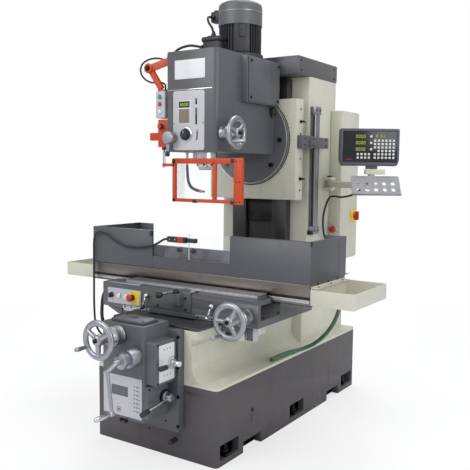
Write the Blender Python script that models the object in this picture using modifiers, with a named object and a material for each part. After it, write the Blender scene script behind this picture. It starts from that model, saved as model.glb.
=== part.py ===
"""Bed type vertical milling machine.

Metres, +Z up, +X to the operator's right, +Y to the rear. The origin lies on the floor, at the middle
of the base. Every sub-part is one object; shapes that are cut or joined use live Boolean modifiers.
"""

import math

import bmesh
import bpy
from mathutils import Matrix, Vector

# ---------------------------------------------------------------- driving dimensions
GAP = 0.0004  # room between pieces that touch
BASE_HALF = Vector((0.384, 0.789))
SKIRT_TOP = 0.372
TRAY_TOP = 0.388
BED_TOP = 0.640
WAY_TOP = 0.655
BED_WEB = 0.235
BED_LIP = 0.270
COLUMN_HALF = 0.300
COLUMN_FRONT = 0.245
COLUMN_BACK = 0.601
COLUMN_TOP = 1.944
WAY_FRONT = 0.187
WAY_X = (0.092, 0.186)
SCREW_Y = 0.315  # axis of the screw that lifts the head

SADDLE_X = 0.500
SADDLE_Y = (-0.624, -0.069)
SADDLE_TOP = 0.7665
TABLE_X = 0.700
TABLE_Y = (-0.492, -0.097)
TABLE_Z = (0.767, 0.868)
TABLE_MID = sum(TABLE_Y) / 2
TABLE_SCREW_Z = 0.795
DRAIN = Vector((0.655, -0.046, 0.772))  # where the drain hose leaves the table
CROSS_SCREW_Z = 0.580
GUARD_TOP = 1.070
SHEET = 0.003
WINDOW_X = (-0.260, 0.249)
WINDOW_SEAM = -0.016
WINDOW_SILL = 0.930
TRAY_END = 0.926

PIVOT = Vector((0.0, 0.090, 1.575))  # the head swivels about this line, along Y
DISC_RADIUS = 0.250
HEAD_X = 0.158
HEAD_Y = (-0.489, 0.071)
HEAD_Z = (1.494, 2.011)
SPINDLE = Vector((0.0, -0.369))
MOTOR = Vector((0.030, -0.084))
BELT_Z = (1.858, 1.898)
SPINDLE_PULLEY = 0.080
MOTOR_PULLEY = 0.050
QUILL_RADIUS = 0.065
SPINDLE_RADIUS = 0.025
BELT_BOX_X = 0.196
QUILL_SHAFT = Vector((0.0, -0.444, 1.588))

GEARBOX_X = 0.129
GEARBOX_Y = (-1.014, -0.834)
GEARBOX_Z = (0.237, 0.685)
CROSS_AXIS = Vector((-0.015, 0.0, 0.635))
LIFT_AXIS = Vector((0.088, 0.0, 0.548))
TABLE_WHEEL = Vector((0.439, -0.779, 0.710))

GUARD_Y = -0.459  # plane of the spindle guard
GUARD_ROD_X = -0.205
ARM_Y = -0.459

DRO_PIVOT = Vector((0.335, 0.461, 1.325))
DRO_END = Vector((0.711, 0.190, 1.325))
DRO_TURN = math.radians(33)

CABINET_X = 0.380
CABINET_Y = (0.532, 0.765)
CABINET_Z = (0.857, 1.770)

PAINT = {
    "dark_paint": ((0.105, 0.107, 0.115), 0.45, 0.0),
    "cream_paint": ((0.56, 0.55, 0.44), 0.45, 0.0),
    "skirt_paint": ((0.060, 0.056, 0.060), 0.5, 0.0),
    "ground_iron": ((0.20, 0.19, 0.18), 0.35, 1.0),
    "dark_iron": ((0.06, 0.06, 0.065), 0.4, 1.0),
    "satin_steel": ((0.36, 0.37, 0.40), 0.35, 1.0),
    "bright_steel": ((0.62, 0.62, 0.64), 0.2, 1.0),
    "signal_orange": ((0.69, 0.06, 0.01), 0.45, 0.0),
    "black_plastic": ((0.012, 0.012, 0.014), 0.4, 0.0),
    "panel_grey": ((0.48, 0.47, 0.50), 0.5, 0.0),
    "red_plastic": ((0.50, 0.02, 0.015), 0.35, 0.0),
    "green_plastic": ((0.02, 0.30, 0.10), 0.35, 0.0),
    "clear_pane": ((0.80, 0.86, 0.88), 0.1, 0.0),
    "black_rubber": ((0.015, 0.015, 0.015), 0.7, 0.0),
    "green_hose": ((0.05, 0.15, 0.085), 0.4, 0.0),
    "blue_hose": ((0.02, 0.02, 0.11), 0.4, 0.0),
}


# ---------------------------------------------------------------- scene and materials
def clear_scene():
    for thing in list(bpy.data.objects):
        bpy.data.objects.remove(thing, do_unlink=True)


def make_collection(name):
    made = bpy.data.collections.new(name)
    bpy.context.scene.collection.children.link(made)
    return made


def make_material(name):
    colour, roughness, metallic = PAINT[name]
    made = bpy.data.materials.get(name) or bpy.data.materials.new(name)
    made.use_nodes = True
    shader = made.node_tree.nodes["Principled BSDF"]
    shader.inputs["Base Color"].default_value = (*colour, 1)
    shader.inputs["Roughness"].default_value = roughness
    shader.inputs["Metallic"].default_value = metallic
    made.diffuse_color = (*colour, 1)
    return made


# ---------------------------------------------------------------- shapes
def own(thing, name):
    """Names a new object and keeps it in the tools' collection until it is shown or used."""
    thing.name = name
    thing.data.name = name
    for home in list(thing.users_collection):
        home.objects.unlink(thing)
    TOOLS.objects.link(thing)
    thing.hide_render = True
    thing.display_type = "WIRE"
    return thing


def rounded(thing, radius, along, segments=2, only=None):
    """Rounds the edges of a block that run along one axis; only(middle) may choose among them."""
    mesh = bmesh.new()
    mesh.from_mesh(thing.data)
    axis = "XYZ".index(along)
    chosen = []
    for edge in mesh.edges:
        run = edge.verts[1].co - edge.verts[0].co
        middle = thing.location + (edge.verts[0].co + edge.verts[1].co) / 2
        if abs(run[axis]) > 0.999 * run.length and (only is None or only(middle)):
            chosen.append(edge)
    bmesh.ops.bevel(
        mesh, geom=chosen, offset=radius, segments=segments, profile=0.5, affect="EDGES"
    )
    mesh.to_mesh(thing.data)
    mesh.free()
    return thing


def block(name, low, high, radius=0.0, along="Z", segments=2, only=None):
    low, high = Vector(low), Vector(high)
    bpy.ops.mesh.primitive_cube_add(size=1, location=(low + high) / 2)
    made = own(bpy.context.object, name)
    made.data.transform(Matrix.Diagonal((*(high - low), 1)))
    if radius:
        rounded(made, radius, along, segments, only)
    return made


def rod(name, start, end, radius, sides=16, tip=None):
    """A round bar between two points; tip is its radius at the end."""
    start, end = Vector(start), Vector(end)
    bpy.ops.mesh.primitive_cone_add(
        vertices=sides,
        radius1=radius,
        radius2=radius if tip is None else tip,
        depth=(end - start).length,
        location=(start + end) / 2,
        rotation=(end - start).to_track_quat("Z", "Y").to_euler(),
    )
    return own(bpy.context.object, name)


def ball(name, centre, radius, segments=16):
    bpy.ops.mesh.primitive_uv_sphere_add(
        segments=segments, ring_count=segments // 2, radius=radius, location=centre
    )
    return own(bpy.context.object, name)


def ring(name, centre, radius, thickness, axis, around=28, section=6):
    bpy.ops.mesh.primitive_torus_add(
        major_radius=radius,
        minor_radius=thickness,
        major_segments=around,
        minor_segments=section,
        location=centre,
        rotation=Vector(axis).to_track_quat("Z", "Y").to_euler(),
    )
    return own(bpy.context.object, name)


def turned(name, centre, axis, profile, steps=20):
    """A shape turned about axis: profile is (distance along axis, radius), far end first."""
    mesh = bpy.data.meshes.new(name)
    top, bottom = profile[0][0], profile[-1][0]
    points = [(0, 0, top)] + [(r, 0, h) for h, r in profile] + [(0, 0, bottom)]
    mesh.from_pydata(points, [(i, i + 1) for i in range(len(points) - 1)], [])
    made = bpy.data.objects.new(name, mesh)
    bpy.context.scene.collection.objects.link(made)
    screw = made.modifiers.new("turn", "SCREW")
    screw.steps = screw.render_steps = steps
    screw.use_merge_vertices = True
    screw.merge_threshold = 0.00005
    made.location = centre
    made.rotation_euler = Vector(axis).to_track_quat("Z", "Y").to_euler()
    return own(made, name)


def smooth_points(route, spacing):
    """Points about spacing apart on one smooth curve through the route's own points."""
    route = [Vector(p) for p in route]
    ends = [2 * route[0] - route[1], *route, 2 * route[-1] - route[-2]]
    made = []
    for a, b, c, d in zip(ends, ends[1:], ends[2:], ends[3:]):
        count = max(1, round((c - b).length / spacing))
        for step in range(count):
            t = step / count
            made.append(
                0.5
                * (
                    2 * b
                    + (c - a) * t
                    + (2 * a - 5 * b + 4 * c - d) * t**2
                    + (3 * b - 3 * c + d - a) * t**3
                )
            )
    return [*made, route[-1]]


def tube(name, points, radius, sides=8):
    curve = bpy.data.curves.new(name, "CURVE")
    curve.dimensions = "3D"
    curve.bevel_depth = radius
    curve.bevel_resolution = sides // 2 - 2
    curve.use_fill_caps = True
    spline = curve.splines.new("POLY")
    spline.points.add(len(points) - 1)
    for point, place in zip(spline.points, points):
        point.co = (*place, 1)
    made = bpy.data.objects.new(name, curve)
    bpy.context.scene.collection.objects.link(made)
    return own(made, name)


def meshed(thing):
    """A curve object made a closed mesh, so that it can be cut or joined."""
    name = thing.name
    view = bpy.context.evaluated_depsgraph_get()
    mesh = bpy.data.meshes.new_from_object(thing.evaluated_get(view))
    made = bpy.data.objects.new(name + "_mesh", mesh)
    made.matrix_world = thing.matrix_world
    bpy.context.scene.collection.objects.link(made)
    bpy.data.objects.remove(thing, do_unlink=True)
    work = bmesh.new()
    work.from_mesh(mesh)
    bmesh.ops.remove_doubles(work, verts=work.verts, dist=0.00002)
    work.to_mesh(mesh)
    work.free()
    return own(made, name)


def outline(name, points, thickness, matrix):
    """A flat outline of the given thickness; matrix places its XY plane."""
    curve = bpy.data.curves.new(name, "CURVE")
    curve.dimensions = "2D"
    curve.fill_mode = "BOTH"
    curve.extrude = thickness / 2
    spline = curve.splines.new("POLY")
    spline.points.add(len(points) - 1)
    for point, place in zip(spline.points, points):
        point.co = (*place, 0, 1)
    spline.use_cyclic_u = True
    made = bpy.data.objects.new(name, curve)
    bpy.context.scene.collection.objects.link(made)
    made.matrix_world = matrix
    bpy.context.view_layer.update()
    return meshed(made)


def combine(main, operation, others):
    for other in others:
        step = main.modifiers.new(other.name, "BOOLEAN")
        step.operation = operation
        step.object = other
    return main


def join(main, *others):
    return combine(main, "UNION", others)


def cut(main, *others):
    return combine(main, "DIFFERENCE", others)


def show(thing, name, material):
    """Makes an object one of the machine's sub-parts."""
    TOOLS.objects.unlink(thing)
    MACHINE.objects.link(thing)
    thing.name = name
    thing.data.name = name
    thing.hide_render = False
    thing.display_type = "TEXTURED"
    thing.data.materials.clear()
    thing.data.materials.append(make_material(material))
    return thing


# ---------------------------------------------------------------- base, bed and column
def base_skirt():
    x, y = BASE_HALF
    wall = 0.040
    shell = block("skirt", (-x, -y, 0), (x, y, SKIRT_TOP), 0.020, "Z")
    for side in (-1, 1):
        inner, outer = 0.060, x - wall
        low = min(side * inner, side * outer)
        high = max(side * inner, side * outer)
        cut(shell, block("hollow", (low, -y + wall, -0.01), (high, y - wall, SKIRT_TOP - wall)))
        for front, back in ((-0.763, -0.599), (-0.080, 0.085), (0.596, 0.749)):
            low, high = sorted((side * (x - 0.06), side * (x + 0.02)))
            cut(shell, block("jack_pocket", (low, front, 0.030), (high, back, 0.103)))
    for front, back in ((-0.557, -0.389), (0.391, 0.551)):
        cut(shell, block("fork_tunnel", (-0.5, front, -0.01), (0.5, back, 0.056)))
    show(shell, "base_skirt", "skirt_paint")


def bed():
    x, y = BASE_HALF
    body = block("bed", (-x, -y, SKIRT_TOP + GAP), (x, y, TRAY_TOP), 0.020, "Z")
    join(
        body,
        block("web", (-BED_WEB, -y, 0.380), (BED_WEB, 0.300, 0.610)),
        block("lip", (-BED_LIP, -y + 0.001, 0.600), (BED_LIP, 0.310, BED_TOP)),
        block("pedestal", (-0.300, 0.200, 0.379), (0.300, 0.771, BED_TOP + 0.0002), 0.012, "Z"),
    )
    cut(body, block("screw_channel", (-0.100, -0.850, 0.500), (0.100, 0.165, 0.700)))
    show(body, "bed", "cream_paint")

    low = BED_TOP + GAP
    ways = block("ways", (-BED_LIP, -y + 0.002, low), (BED_LIP, 0.193, WAY_TOP))
    cut(ways, block("nut_slot", (-0.150, -0.690, 0.6), (0.150, 0.140, 0.7)))
    show(ways, "bed_ways", "dark_iron")

    screw = turned(
        "cross_screw",
        (0, -0.780, CROSS_SCREW_Z),
        (0, 1, 0),
        [
            (0.920, 0.014),
            (0.050, 0.014),
            (0.050, 0.024),
            (0.020, 0.024),
            (0.020, 0.034),
            (0, 0.034),
        ],
        20,
    )
    show(screw, "cross_screw", "bright_steel")


def column():
    low = BED_TOP + 0.0002 + GAP
    body = block(
        "column",
        (-COLUMN_HALF, COLUMN_FRONT, low),
        (COLUMN_HALF, COLUMN_BACK, COLUMN_TOP),
        0.010,
        "Z",
    )
    join(body, block("arm_bracket", (0.290, 0.430, 1.285), (0.360, 0.492, 1.365), 0.008, "Y"))
    cut(
        body,
        block("channel", (-0.088, 0.200, 0.660), (0.088, 0.400, 2.0)),
        block("core_left", (-0.230, 0.440, 0.600), (-0.030, 0.570, 1.900)),
        block("core_right", (0.030, 0.440, 0.600), (0.230, 0.570, 1.900)),
        rod("arm_bore", (DRO_PIVOT.x, DRO_PIVOT.y, 1.30), (DRO_PIVOT.x, DRO_PIVOT.y, 1.40), 0.0105),
    )
    cut(body, block("arm_slot", (0.313, 0.40, 1.305), (0.40, 0.52, 1.345)))
    show(body, "column", "cream_paint")

    cap = block("cap", (-0.302, 0.099, COLUMN_TOP + GAP), (0.302, 0.605, 2.045), 0.006, "Z")
    cut(cap, block("gear_room", (-0.110, 0.200, 1.9), (0.110, 0.520, 2.020)))
    show(cap, "column_cap", "dark_paint")

    inner, outer = WAY_X
    back = COLUMN_FRONT - GAP
    ways = block("column_ways", (-outer, WAY_FRONT, 0.6565), (outer, back, COLUMN_TOP - 0.010))
    cut(ways, block("way_gap", (-inner, 0.1, 0.6), (inner, 0.3, 1.905)))
    show(ways, "column_ways", "dark_iron")

    cover = block("cover", (-0.0895, 0.222, 0.6605), (0.0895, 0.226, 1.110))
    show(cover, "screw_cover", "black_plastic")

    screw = turned(
        "lift_screw",
        (0, SCREW_Y, 0.6608),
        (0, 0, 1),
        [(1.270, 0.016), (0.070, 0.016), (0.070, 0.030), (0.035, 0.042), (0.004, 0.042), (0, 0.036)],
        20,
    )
    show(screw, "lift_screw", "bright_steel")

    bar = block("scale_bar", (0.3005, 0.262, 1.060), (0.333, 0.318, 1.742), 0.004, "Z")
    show(bar, "scale_bar", "bright_steel")


# ---------------------------------------------------------------- electrical cabinet
def cabinet():
    x, (front, back), (low, high) = CABINET_X, CABINET_Y, CABINET_Z
    shell = block("cabinet", (-x, front, low), (x, back, high), 0.006, "Z")
    cut(
        shell,
        block("column_room", (-COLUMN_HALF - 0.0015, 0.4, 0.5), (COLUMN_HALF + 0.0015, 0.6025, 2)),
        block("inside", (-x + 0.020, 0.625, low + 0.020), (x - 0.020, 0.9, high - 0.020)),
        rod("switch_bore", (0.3, 0.717, 1.122), (0.4, 0.717, 1.122), 0.0085),
    )
    for row, count in ((1.580, 6), (1.380, 5), (1.150, 4)):
        for number in range(count):
            left = -0.300 + number * 0.095
            join(
                shell,
                block("contactor", (left, 0.620, row), (left + 0.070, 0.680, row + 0.085)),
            )
    show(shell, "cabinet", "cream_paint")

    door = block(
        "door", (-x, back + GAP, low + 0.002), (x, back + 0.020, high - 0.002), 0.004, "Z"
    )
    join(door, rod("latch", (0.340, back + 0.01, 1.30), (0.340, back + 0.034, 1.30), 0.018))
    show(door, "cabinet_door", "cream_paint")

    plate = rod("main_switch", (x + GAP, 0.717, 1.122), (x + 0.012, 0.717, 1.122), 0.034, 24)
    join(
        plate,
        rod("switch_pin", (x - 0.015, 0.717, 1.122), (x + 0.020, 0.717, 1.122), 0.0075),
        rod("hub", (x + 0.010, 0.717, 1.122), (x + 0.026, 0.717, 1.122), 0.024, 24),
        block("grip", (x + 0.02, 0.709, 1.096), (x + 0.042, 0.725, 1.148), 0.006, "X"),
    )
    show(plate, "main_switch", "red_plastic")


# ---------------------------------------------------------------- feed gearbox
def handle_bar(name, start, length, axis, radius=0.011):
    """A turned grip that stands out along axis."""
    start, axis = Vector(start), Vector(axis)
    profile = [
        (length, radius * 0.7),
        (length * 0.93, radius),
        (length * 0.35, radius * 0.85),
        (length * 0.10, radius * 0.7),
        (-0.006, radius * 0.7),
    ]
    return turned(name, start, axis, profile, 14)


def handwheel(name, centre, axis, radius, reach, grip, angle, boss, shaft, spokes=3):
    """A spoked wheel whose boss reaches back by reach to the face that it turns on."""
    centre, axis = Vector(centre), Vector(axis)
    side = Vector((1, 0, 0)) if abs(axis.y) > 0.5 else Vector((0, 1, 0))
    up = axis.cross(side)
    rim = ring(name + "_rim", centre, radius - 0.010, 0.0105, axis)
    dial = boss
    hub = turned(
        name + "_hub",
        centre,
        axis,
        [
            (0.020, 0.010),
            (0.016, 0.024),
            (-0.014, 0.026),
            (-reach * 0.45, 0.020),
            (-reach * 0.45, dial * 0.8),
            (-reach * 0.60, dial),
            (-reach * 0.92, dial),
            (-reach + GAP, dial * 0.85),
        ],
    )
    parts = []
    for number in range(spokes):
        a = math.tau * (number + 0.5) / spokes + angle
        out = side * math.cos(a) + up * math.sin(a)
        parts.append(
            rod(
                name + "_spoke",
                centre + out * 0.012,
                centre + out * (radius - 0.010),
                0.0085,
                10,
                0.007,
            )
        )
    out = side * math.cos(angle) + up * math.sin(angle)
    parts.append(handle_bar(name + "_grip", centre + out * (radius - 0.010), grip, axis))
    if shaft:
        back = centre - axis * (reach - 0.002)
        parts.append(rod(name + "_shaft", back, back - axis * shaft, 0.012, 16))
    join(hub, *parts, rim)
    return hub


def gearbox():
    front, back = GEARBOX_Y
    low, high = GEARBOX_Z
    case = block("case", (-GEARBOX_X, front, low), (GEARBOX_X, back + 0.01, high), 0.012, "Z")
    join(
        case,
        block("flange", (-0.210, back, 0.150), (0.190, -0.7895 - GAP, 0.645), 0.010, "Y"),
        block("feed_box", (0.120, -0.995, 0.415), (0.190, -0.855, 0.615), 0.006, "X"),
        block("range_box", (0.120, -1.008, 0.250), (0.150, -0.870, 0.408), 0.005, "X"),
        block("foot", (-0.060, -0.980, 0.215), (0.060, -0.860, 0.240)),
    )
    cut(
        case,
        block("gear_room", (-0.112, -0.985, 0.270), (0.112, -0.865, 0.660)),
        block("top_opening", (-0.085, -0.965, 0.600), (0.085, -0.885, 0.720)),
        rod("cross_bore", (CROSS_AXIS.x, -1.1, CROSS_AXIS.z), (CROSS_AXIS.x, -0.9, CROSS_AXIS.z), 0.0125),
        rod("lift_bore", (LIFT_AXIS.x, -1.1, LIFT_AXIS.z), (LIFT_AXIS.x, -0.9, LIFT_AXIS.z), 0.0125),
        rod("feed_bore", (0.17, -0.885, 0.505), (0.2, -0.885, 0.505), 0.0085),
        rod("range_bore", (0.13, -0.890, 0.338), (0.2, -0.890, 0.338), 0.0085),
    )
    show(case, "gearbox_case", "dark_paint")

    lid = block("lid", (-0.100, -0.982, high + GAP), (0.100, -0.868, 0.699), 0.005, "Z")
    join(lid, rod("plug", (0, -0.925, 0.69), (0, -0.925, 0.707), 0.012, 12))
    show(lid, "gearbox_lid", "dark_paint")

    wheel = handwheel(
        "cross_handwheel",
        (CROSS_AXIS.x, -1.154, CROSS_AXIS.z),
        (0, -1, 0),
        0.0925,
        1.154 - 1.014,
        0.074,
        math.radians(-150),
        0.047,
        0.100,
    )
    gear = (CROSS_AXIS.x, -0.955, CROSS_AXIS.z)
    join(wheel, rod("cross_gear", gear, Vector(gear) + Vector((0, 0.02, 0)), 0.021, 18))
    show(wheel, "cross_handwheel", "satin_steel")

    x, z = LIFT_AXIS.x, LIFT_AXIS.z
    crank = turned(
        "lift_crank",
        (x, -1.014, z),
        (0, -1, 0),
        [
            (0.146, 0.010),
            (0.142, 0.013),
            (0.112, 0.013),
            (0.110, 0.037),
            (0.090, 0.037),
            (0.088, 0.030),
            (0.072, 0.030),
            (0.070, 0.043),
            (0.004, 0.043),
            (GAP, 0.038),
        ],
    )
    neck = Vector((x, -1.150, z))
    elbow = Vector((x - 0.004, -1.200, z - 0.030))
    arm_end = Vector((x + 0.022, -1.200, z - 0.211))
    join(
        crank,
        rod("crank_neck", neck, elbow, 0.0125, 16, 0.0100),
        rod("crank_arm", elbow, arm_end, 0.0088, 12),
        ball("crank_elbow", elbow, 0.0105, 12),
        ball("crank_knuckle", arm_end, 0.0089, 12),
        handle_bar("crank_grip", arm_end + Vector((0, -0.002, 0)), 0.100, (0, -1, 0), 0.0115),
        rod("lift_shaft", (x, -1.018, z), (x, -0.900, z), 0.012, 16),
        rod("lift_gear", (x, -0.955, z), (x, -0.935, z), 0.020, 18),
    )
    show(crank, "lift_crank", "satin_steel")

    side_lever("feed_lever", Vector((0.190, -0.885, 0.505)), Vector((0, -0.130, 0.004)), 0.020)
    side_lever("range_lever", Vector((0.150, -0.890, 0.338)), Vector((0, -0.205, -0.028)), 0.026)


def side_lever(name, face, reach, hub):
    """A lever on a box's right side; it turns about X."""
    outward = Vector((1, 0, 0))
    top = face + outward * 0.034
    lever = turned(
        name,
        face,
        outward,
        [(0.050, hub * 0.5), (0.046, hub * 0.8), (0.020, hub * 0.8), (0.016, hub), (GAP, hub)],
        20,
    )
    end = top + reach
    grip = end - reach.normalized() * 0.055
    join(
        lever,
        rod(name + "_arm", top, grip + reach.normalized() * 0.01, 0.0065, 10),
        rod(name + "_grip", grip, end, 0.0125, 14, 0.0105),
        rod(name + "_pin", face - outward * 0.013, face + outward * 0.01, 0.008, 12),
    )
    show(lever, name, "bright_steel")


# ---------------------------------------------------------------- saddle
def saddle():
    front, back = SADDLE_Y
    body = block("saddle", (-SADDLE_X, front, WAY_TOP + 0.001), (SADDLE_X, back, SADDLE_TOP))
    join(
        body,
        block("front_apron", (-SADDLE_X, front + 0.0005, 0.70), (SADDLE_X, -0.505, 0.787)),
        block("front_rail", (-0.350, -0.600, 0.78), (0.480, -0.512, 0.808)),
        block("cross_nut", (-0.050, -0.460, 0.540), (0.050, -0.400, 0.66)),
        block("table_nut", (-0.050, TABLE_MID - 0.030, 0.76), (0.050, TABLE_MID + 0.030, 0.815)),
        block("limit_switch", (0.405, -0.575, 0.575), (0.446, -0.535, 0.66)),
        block("left_wing", (-0.400, -0.600, 0.612), (-0.2755, -0.100, 0.66)),
        block("right_wing", (0.2755, -0.600, 0.612), (0.400, -0.100, 0.66)),
        block("oil_pump", (0.285, -0.585, 0.575), (0.395, -0.380, 0.62), 0.006, "Z"),
    )
    cut(
        body,
        rod("cross_thread", (0, -0.5, CROSS_SCREW_Z), (0, -0.3, CROSS_SCREW_Z), 0.0145),
        rod("table_thread", (-0.1, TABLE_MID, TABLE_SCREW_Z), (0.1, TABLE_MID, TABLE_SCREW_Z), 0.0135),
        rod("wheel_bore", (TABLE_WHEEL.x, -0.7, 0.71), (TABLE_WHEEL.x, -0.56, 0.71), 0.0125),
        rod("stop_bore", (-0.283, -0.7, 0.720), (-0.283, -0.594, 0.720), 0.0115),
        rod("mode_bore", (-0.432, -0.7, 0.720), (-0.432, -0.600, 0.720), 0.0075),
        rod("clamp_bore", (0.240, -0.7, 0.735), (0.240, -0.595, 0.735), 0.0085),
        rod("lever_bore", (0.025, -0.650, 0.71), (0.025, -0.650, 0.85), 0.0085),
    )
    bracket = block("lever_block", (-0.010, -0.668, 0.722), (0.060, -0.600, 0.780), 0.006, "Z")
    cut(bracket, rod("lever_pocket", (0.025, -0.650, 0.740), (0.025, -0.650, 0.80), 0.0085))
    join(body, bracket)
    show(body, "saddle", "dark_paint")

    wheel = handwheel(
        "table_handwheel",
        TABLE_WHEEL,
        (0, -1, 0),
        0.090,
        -TABLE_WHEEL.y + SADDLE_Y[0],
        0.085,
        math.radians(-120),
        0.040,
        0.050,
    )
    show(wheel, "table_handwheel", "satin_steel")

    stop = turned(
        "stop_button",
        (-0.283, front - GAP, 0.720),
        (0, -1, 0),
        [(0.036, 0.012), (0.032, 0.019), (0.022, 0.019), (0.018, 0.011), (-0.020, 0.011)],
        20,
    )
    show(stop, "stop_button", "red_plastic")

    knob = turned(
        "mode_knob",
        (-0.432, front - GAP, 0.720),
        (0, -1, 0),
        [(0.020, 0.011), (0.018, 0.013), (0, 0.014), (0, 0.007), (-0.018, 0.007)],
        20,
    )
    join(knob, block("knob_bar", (-0.436, front - 0.028, 0.708), (-0.428, front - 0.01, 0.732)))
    show(knob, "mode_knob", "black_plastic")

    clamp = turned(
        "clamp_lever",
        (0.240, front - GAP, 0.735),
        (0, -1, 0),
        [(0.026, 0.008), (0.022, 0.013), (0, 0.014), (0, 0.008), (-0.020, 0.008)],
        18,
    )
    tip = Vector((0.222, front - 0.030, 0.676))
    join(
        clamp,
        rod("clamp_arm", (0.240, front - 0.014, 0.735), tip, 0.0055, 10),
        ball("clamp_ball", tip, 0.009, 12),
    )
    show(clamp, "clamp_lever", "bright_steel")

    pivot = Vector((0.025, -0.650, 0.7805))
    lever = turned(
        "direction_lever",
        pivot,
        (0, 0, 1),
        [(0.022, 0.012), (0.018, 0.016), (GAP, 0.016), (GAP, 0.008), (-0.030, 0.008)],
        18,
    )
    top = pivot + Vector((0, 0, 0.010))
    join(
        lever,
        rod("lever_rod", top, top + Vector((0, -0.125, 0)), 0.0055, 10),
        rod("lever_grip", top + Vector((0, -0.110, 0)), top + Vector((0, -0.150, 0)), 0.0125, 14, 0.009),
    )
    show(lever, "direction_lever", "black_plastic")


# ---------------------------------------------------------------- table
def table():
    (front, back), (low, high) = TABLE_Y, TABLE_Z
    top = block("table", (-TABLE_X, front, low), (TABLE_X, back, high), 0.003, "X", 1)
    for shift in (-0.110, 0.0, 0.110):
        y = TABLE_MID + shift
        cut(
            top,
            block("slot_neck", (-0.8, y - 0.009, 0.840), (0.8, y + 0.009, 0.9)),
            block("slot_head", (-0.8, y - 0.016, 0.832), (0.8, y + 0.016, 0.847)),
        )
    cut(
        top,
        block("screw_room", (-0.8, TABLE_MID - 0.038, 0.7), (0.8, TABLE_MID + 0.038, 0.820)),
        block("stop_groove", (-0.8, front - 0.02, 0.795), (0.8, front + 0.012, 0.808)),
    )
    x, y, z = DRAIN
    join(top, block("drain_bracket", (x - 0.018, back - 0.002, z), (x + 0.018, y + 0.018, z + 0.030)))
    show(top, "table", "ground_iron")

    place = (0, TABLE_MID, TABLE_SCREW_Z)
    screw = rod("table_screw", Vector(place) - Vector((0.695, 0, 0)), (0.695, *place[1:]), 0.013, 16)
    for side in (-1, 1):
        low_x, high_x = sorted((side * 0.665, side * 0.690))
        join(screw, rod("collar", (low_x, *place[1:]), (high_x, *place[1:]), 0.022, 16))
    show(screw, "table_screw", "bright_steel")

    for side, name in ((-1, "tray_left"), (1, "tray_right")):
        near, far = TABLE_X + GAP, TRAY_END
        low_x, high_x = sorted((side * near, side * far))
        tray = block(name, (low_x, front, 0.770), (high_x, back + 0.005, 0.846), 0.006, "Z")
        lip_low, lip_high = sorted((side * near, side * (near + 0.006)))
        join(tray, block("tray_lip", (lip_low, front + 0.01, 0.80), (lip_high, back - 0.01, 0.858)))
        in_low, in_high = sorted((side * (near + 0.006), side * (far - 0.006)))
        cut(tray, block("tray_inside", (in_low, front + 0.006, 0.776), (in_high, back - 0.001, 0.9)))
        show(tray, name, "cream_paint")


def table_guard():
    (front, back), low = TABLE_Y, TABLE_Z[1] + GAP
    x, high = TABLE_X + GAP + SHEET, GUARD_TOP
    inner = front + SHEET
    wall = block("guard", (-x, front, low), (x, inner, high))
    cut(wall, block("window", (WINDOW_X[0], -0.6, WINDOW_SILL), (WINDOW_X[1], -0.4, 1.2)))
    join(
        wall,
        block("left_wall", (-x, front + 0.001, low), (-x + SHEET, back, high)),
        block("right_wall", (x - SHEET, front + 0.001, low), (x, back, high)),
        block("rear_wall", (-x + 0.001, back - SHEET, low), (x - 0.001, back - 0.0002, 0.938)),
        block("rear_left", (-x + 0.001, back - SHEET, low), (-x + 0.120, back - 0.0002, high)),
        block("rear_right", (x - 0.120, back - SHEET, low), (x - 0.001, back - 0.0002, high)),
        block("foot_strip", (-x + 0.001, inner - 0.001, low), (x - 0.001, inner + 0.022, low + SHEET)),
        block(
            "left_pane",
            (WINDOW_X[0] - 0.01, inner - 0.001, 0.905),
            (WINDOW_SEAM - 0.001, inner + 0.003, high),
        ),
    )
    show(wall, "table_guard", "dark_paint")

    y = inner + 0.0006
    pane = block("pane", (WINDOW_SEAM + 0.001, y, 0.905), (WINDOW_X[1] + 0.012, y + 0.004, high))
    join(
        pane,
        block("actuator", (WINDOW_SEAM + 0.004, y - 0.022, 1.022), (0.048, y + 0.001, 1.045)),
        rod("pane_knob", (0.024, y + 0.001, 0.980), (0.024, y - 0.022, 0.980), 0.010, 16),
    )
    show(pane, "window_pane", "clear_pane")

    switch_end = (WINDOW_SEAM - 0.003, inner - 0.0014, 1.049)
    switch = block("switch", (-0.140, front - 0.022, 1.018), switch_end, 0.003, "X")
    show(switch, "interlock_switch", "black_plastic")


# ---------------------------------------------------------------- carriage and head
def carriage():
    plate = block(
        "carriage", (-0.298, 0.097, 1.236), (0.298, 0.186, 1.807), 0.012, "Z", 2
    )
    parts = [
        block("leaf_root", (-0.0895, 0.18, 1.240), (0.0895, 0.209, 1.270)),
        block("leaf", (-0.0893, 0.205, 1.100), (0.0893, 0.2088, 1.265)),
        block("lift_nut", (-0.060, 0.18, 1.700), (0.060, 0.355, 1.780)),
    ]
    for side in (-1, 1):
        low, high = sorted((side * 0.188, side * 0.228))
        parts.append(block("keeper", (low, 0.18, 1.250), (high, 0.2435, 1.790)))
    join(plate, *parts)
    cut(plate, rod("lift_thread", (0, SCREW_Y, 1.6), (0, SCREW_Y, 1.9), 0.0166))
    show(plate, "carriage", "cream_paint")

    reader = block("reader", (0.2985, 0.105, 1.528), (0.338, 0.225, 1.602), 0.003, "Y")
    join(
        reader,
        block("reader_bridge", (0.3345, 0.180, 1.535), (0.352, 0.400, 1.596)),
        block("reader_foot", (0.3105, 0.335, 1.535), (0.345, 0.400, 1.596)),
    )
    show(reader, "scale_reader", "dark_iron")


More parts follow.
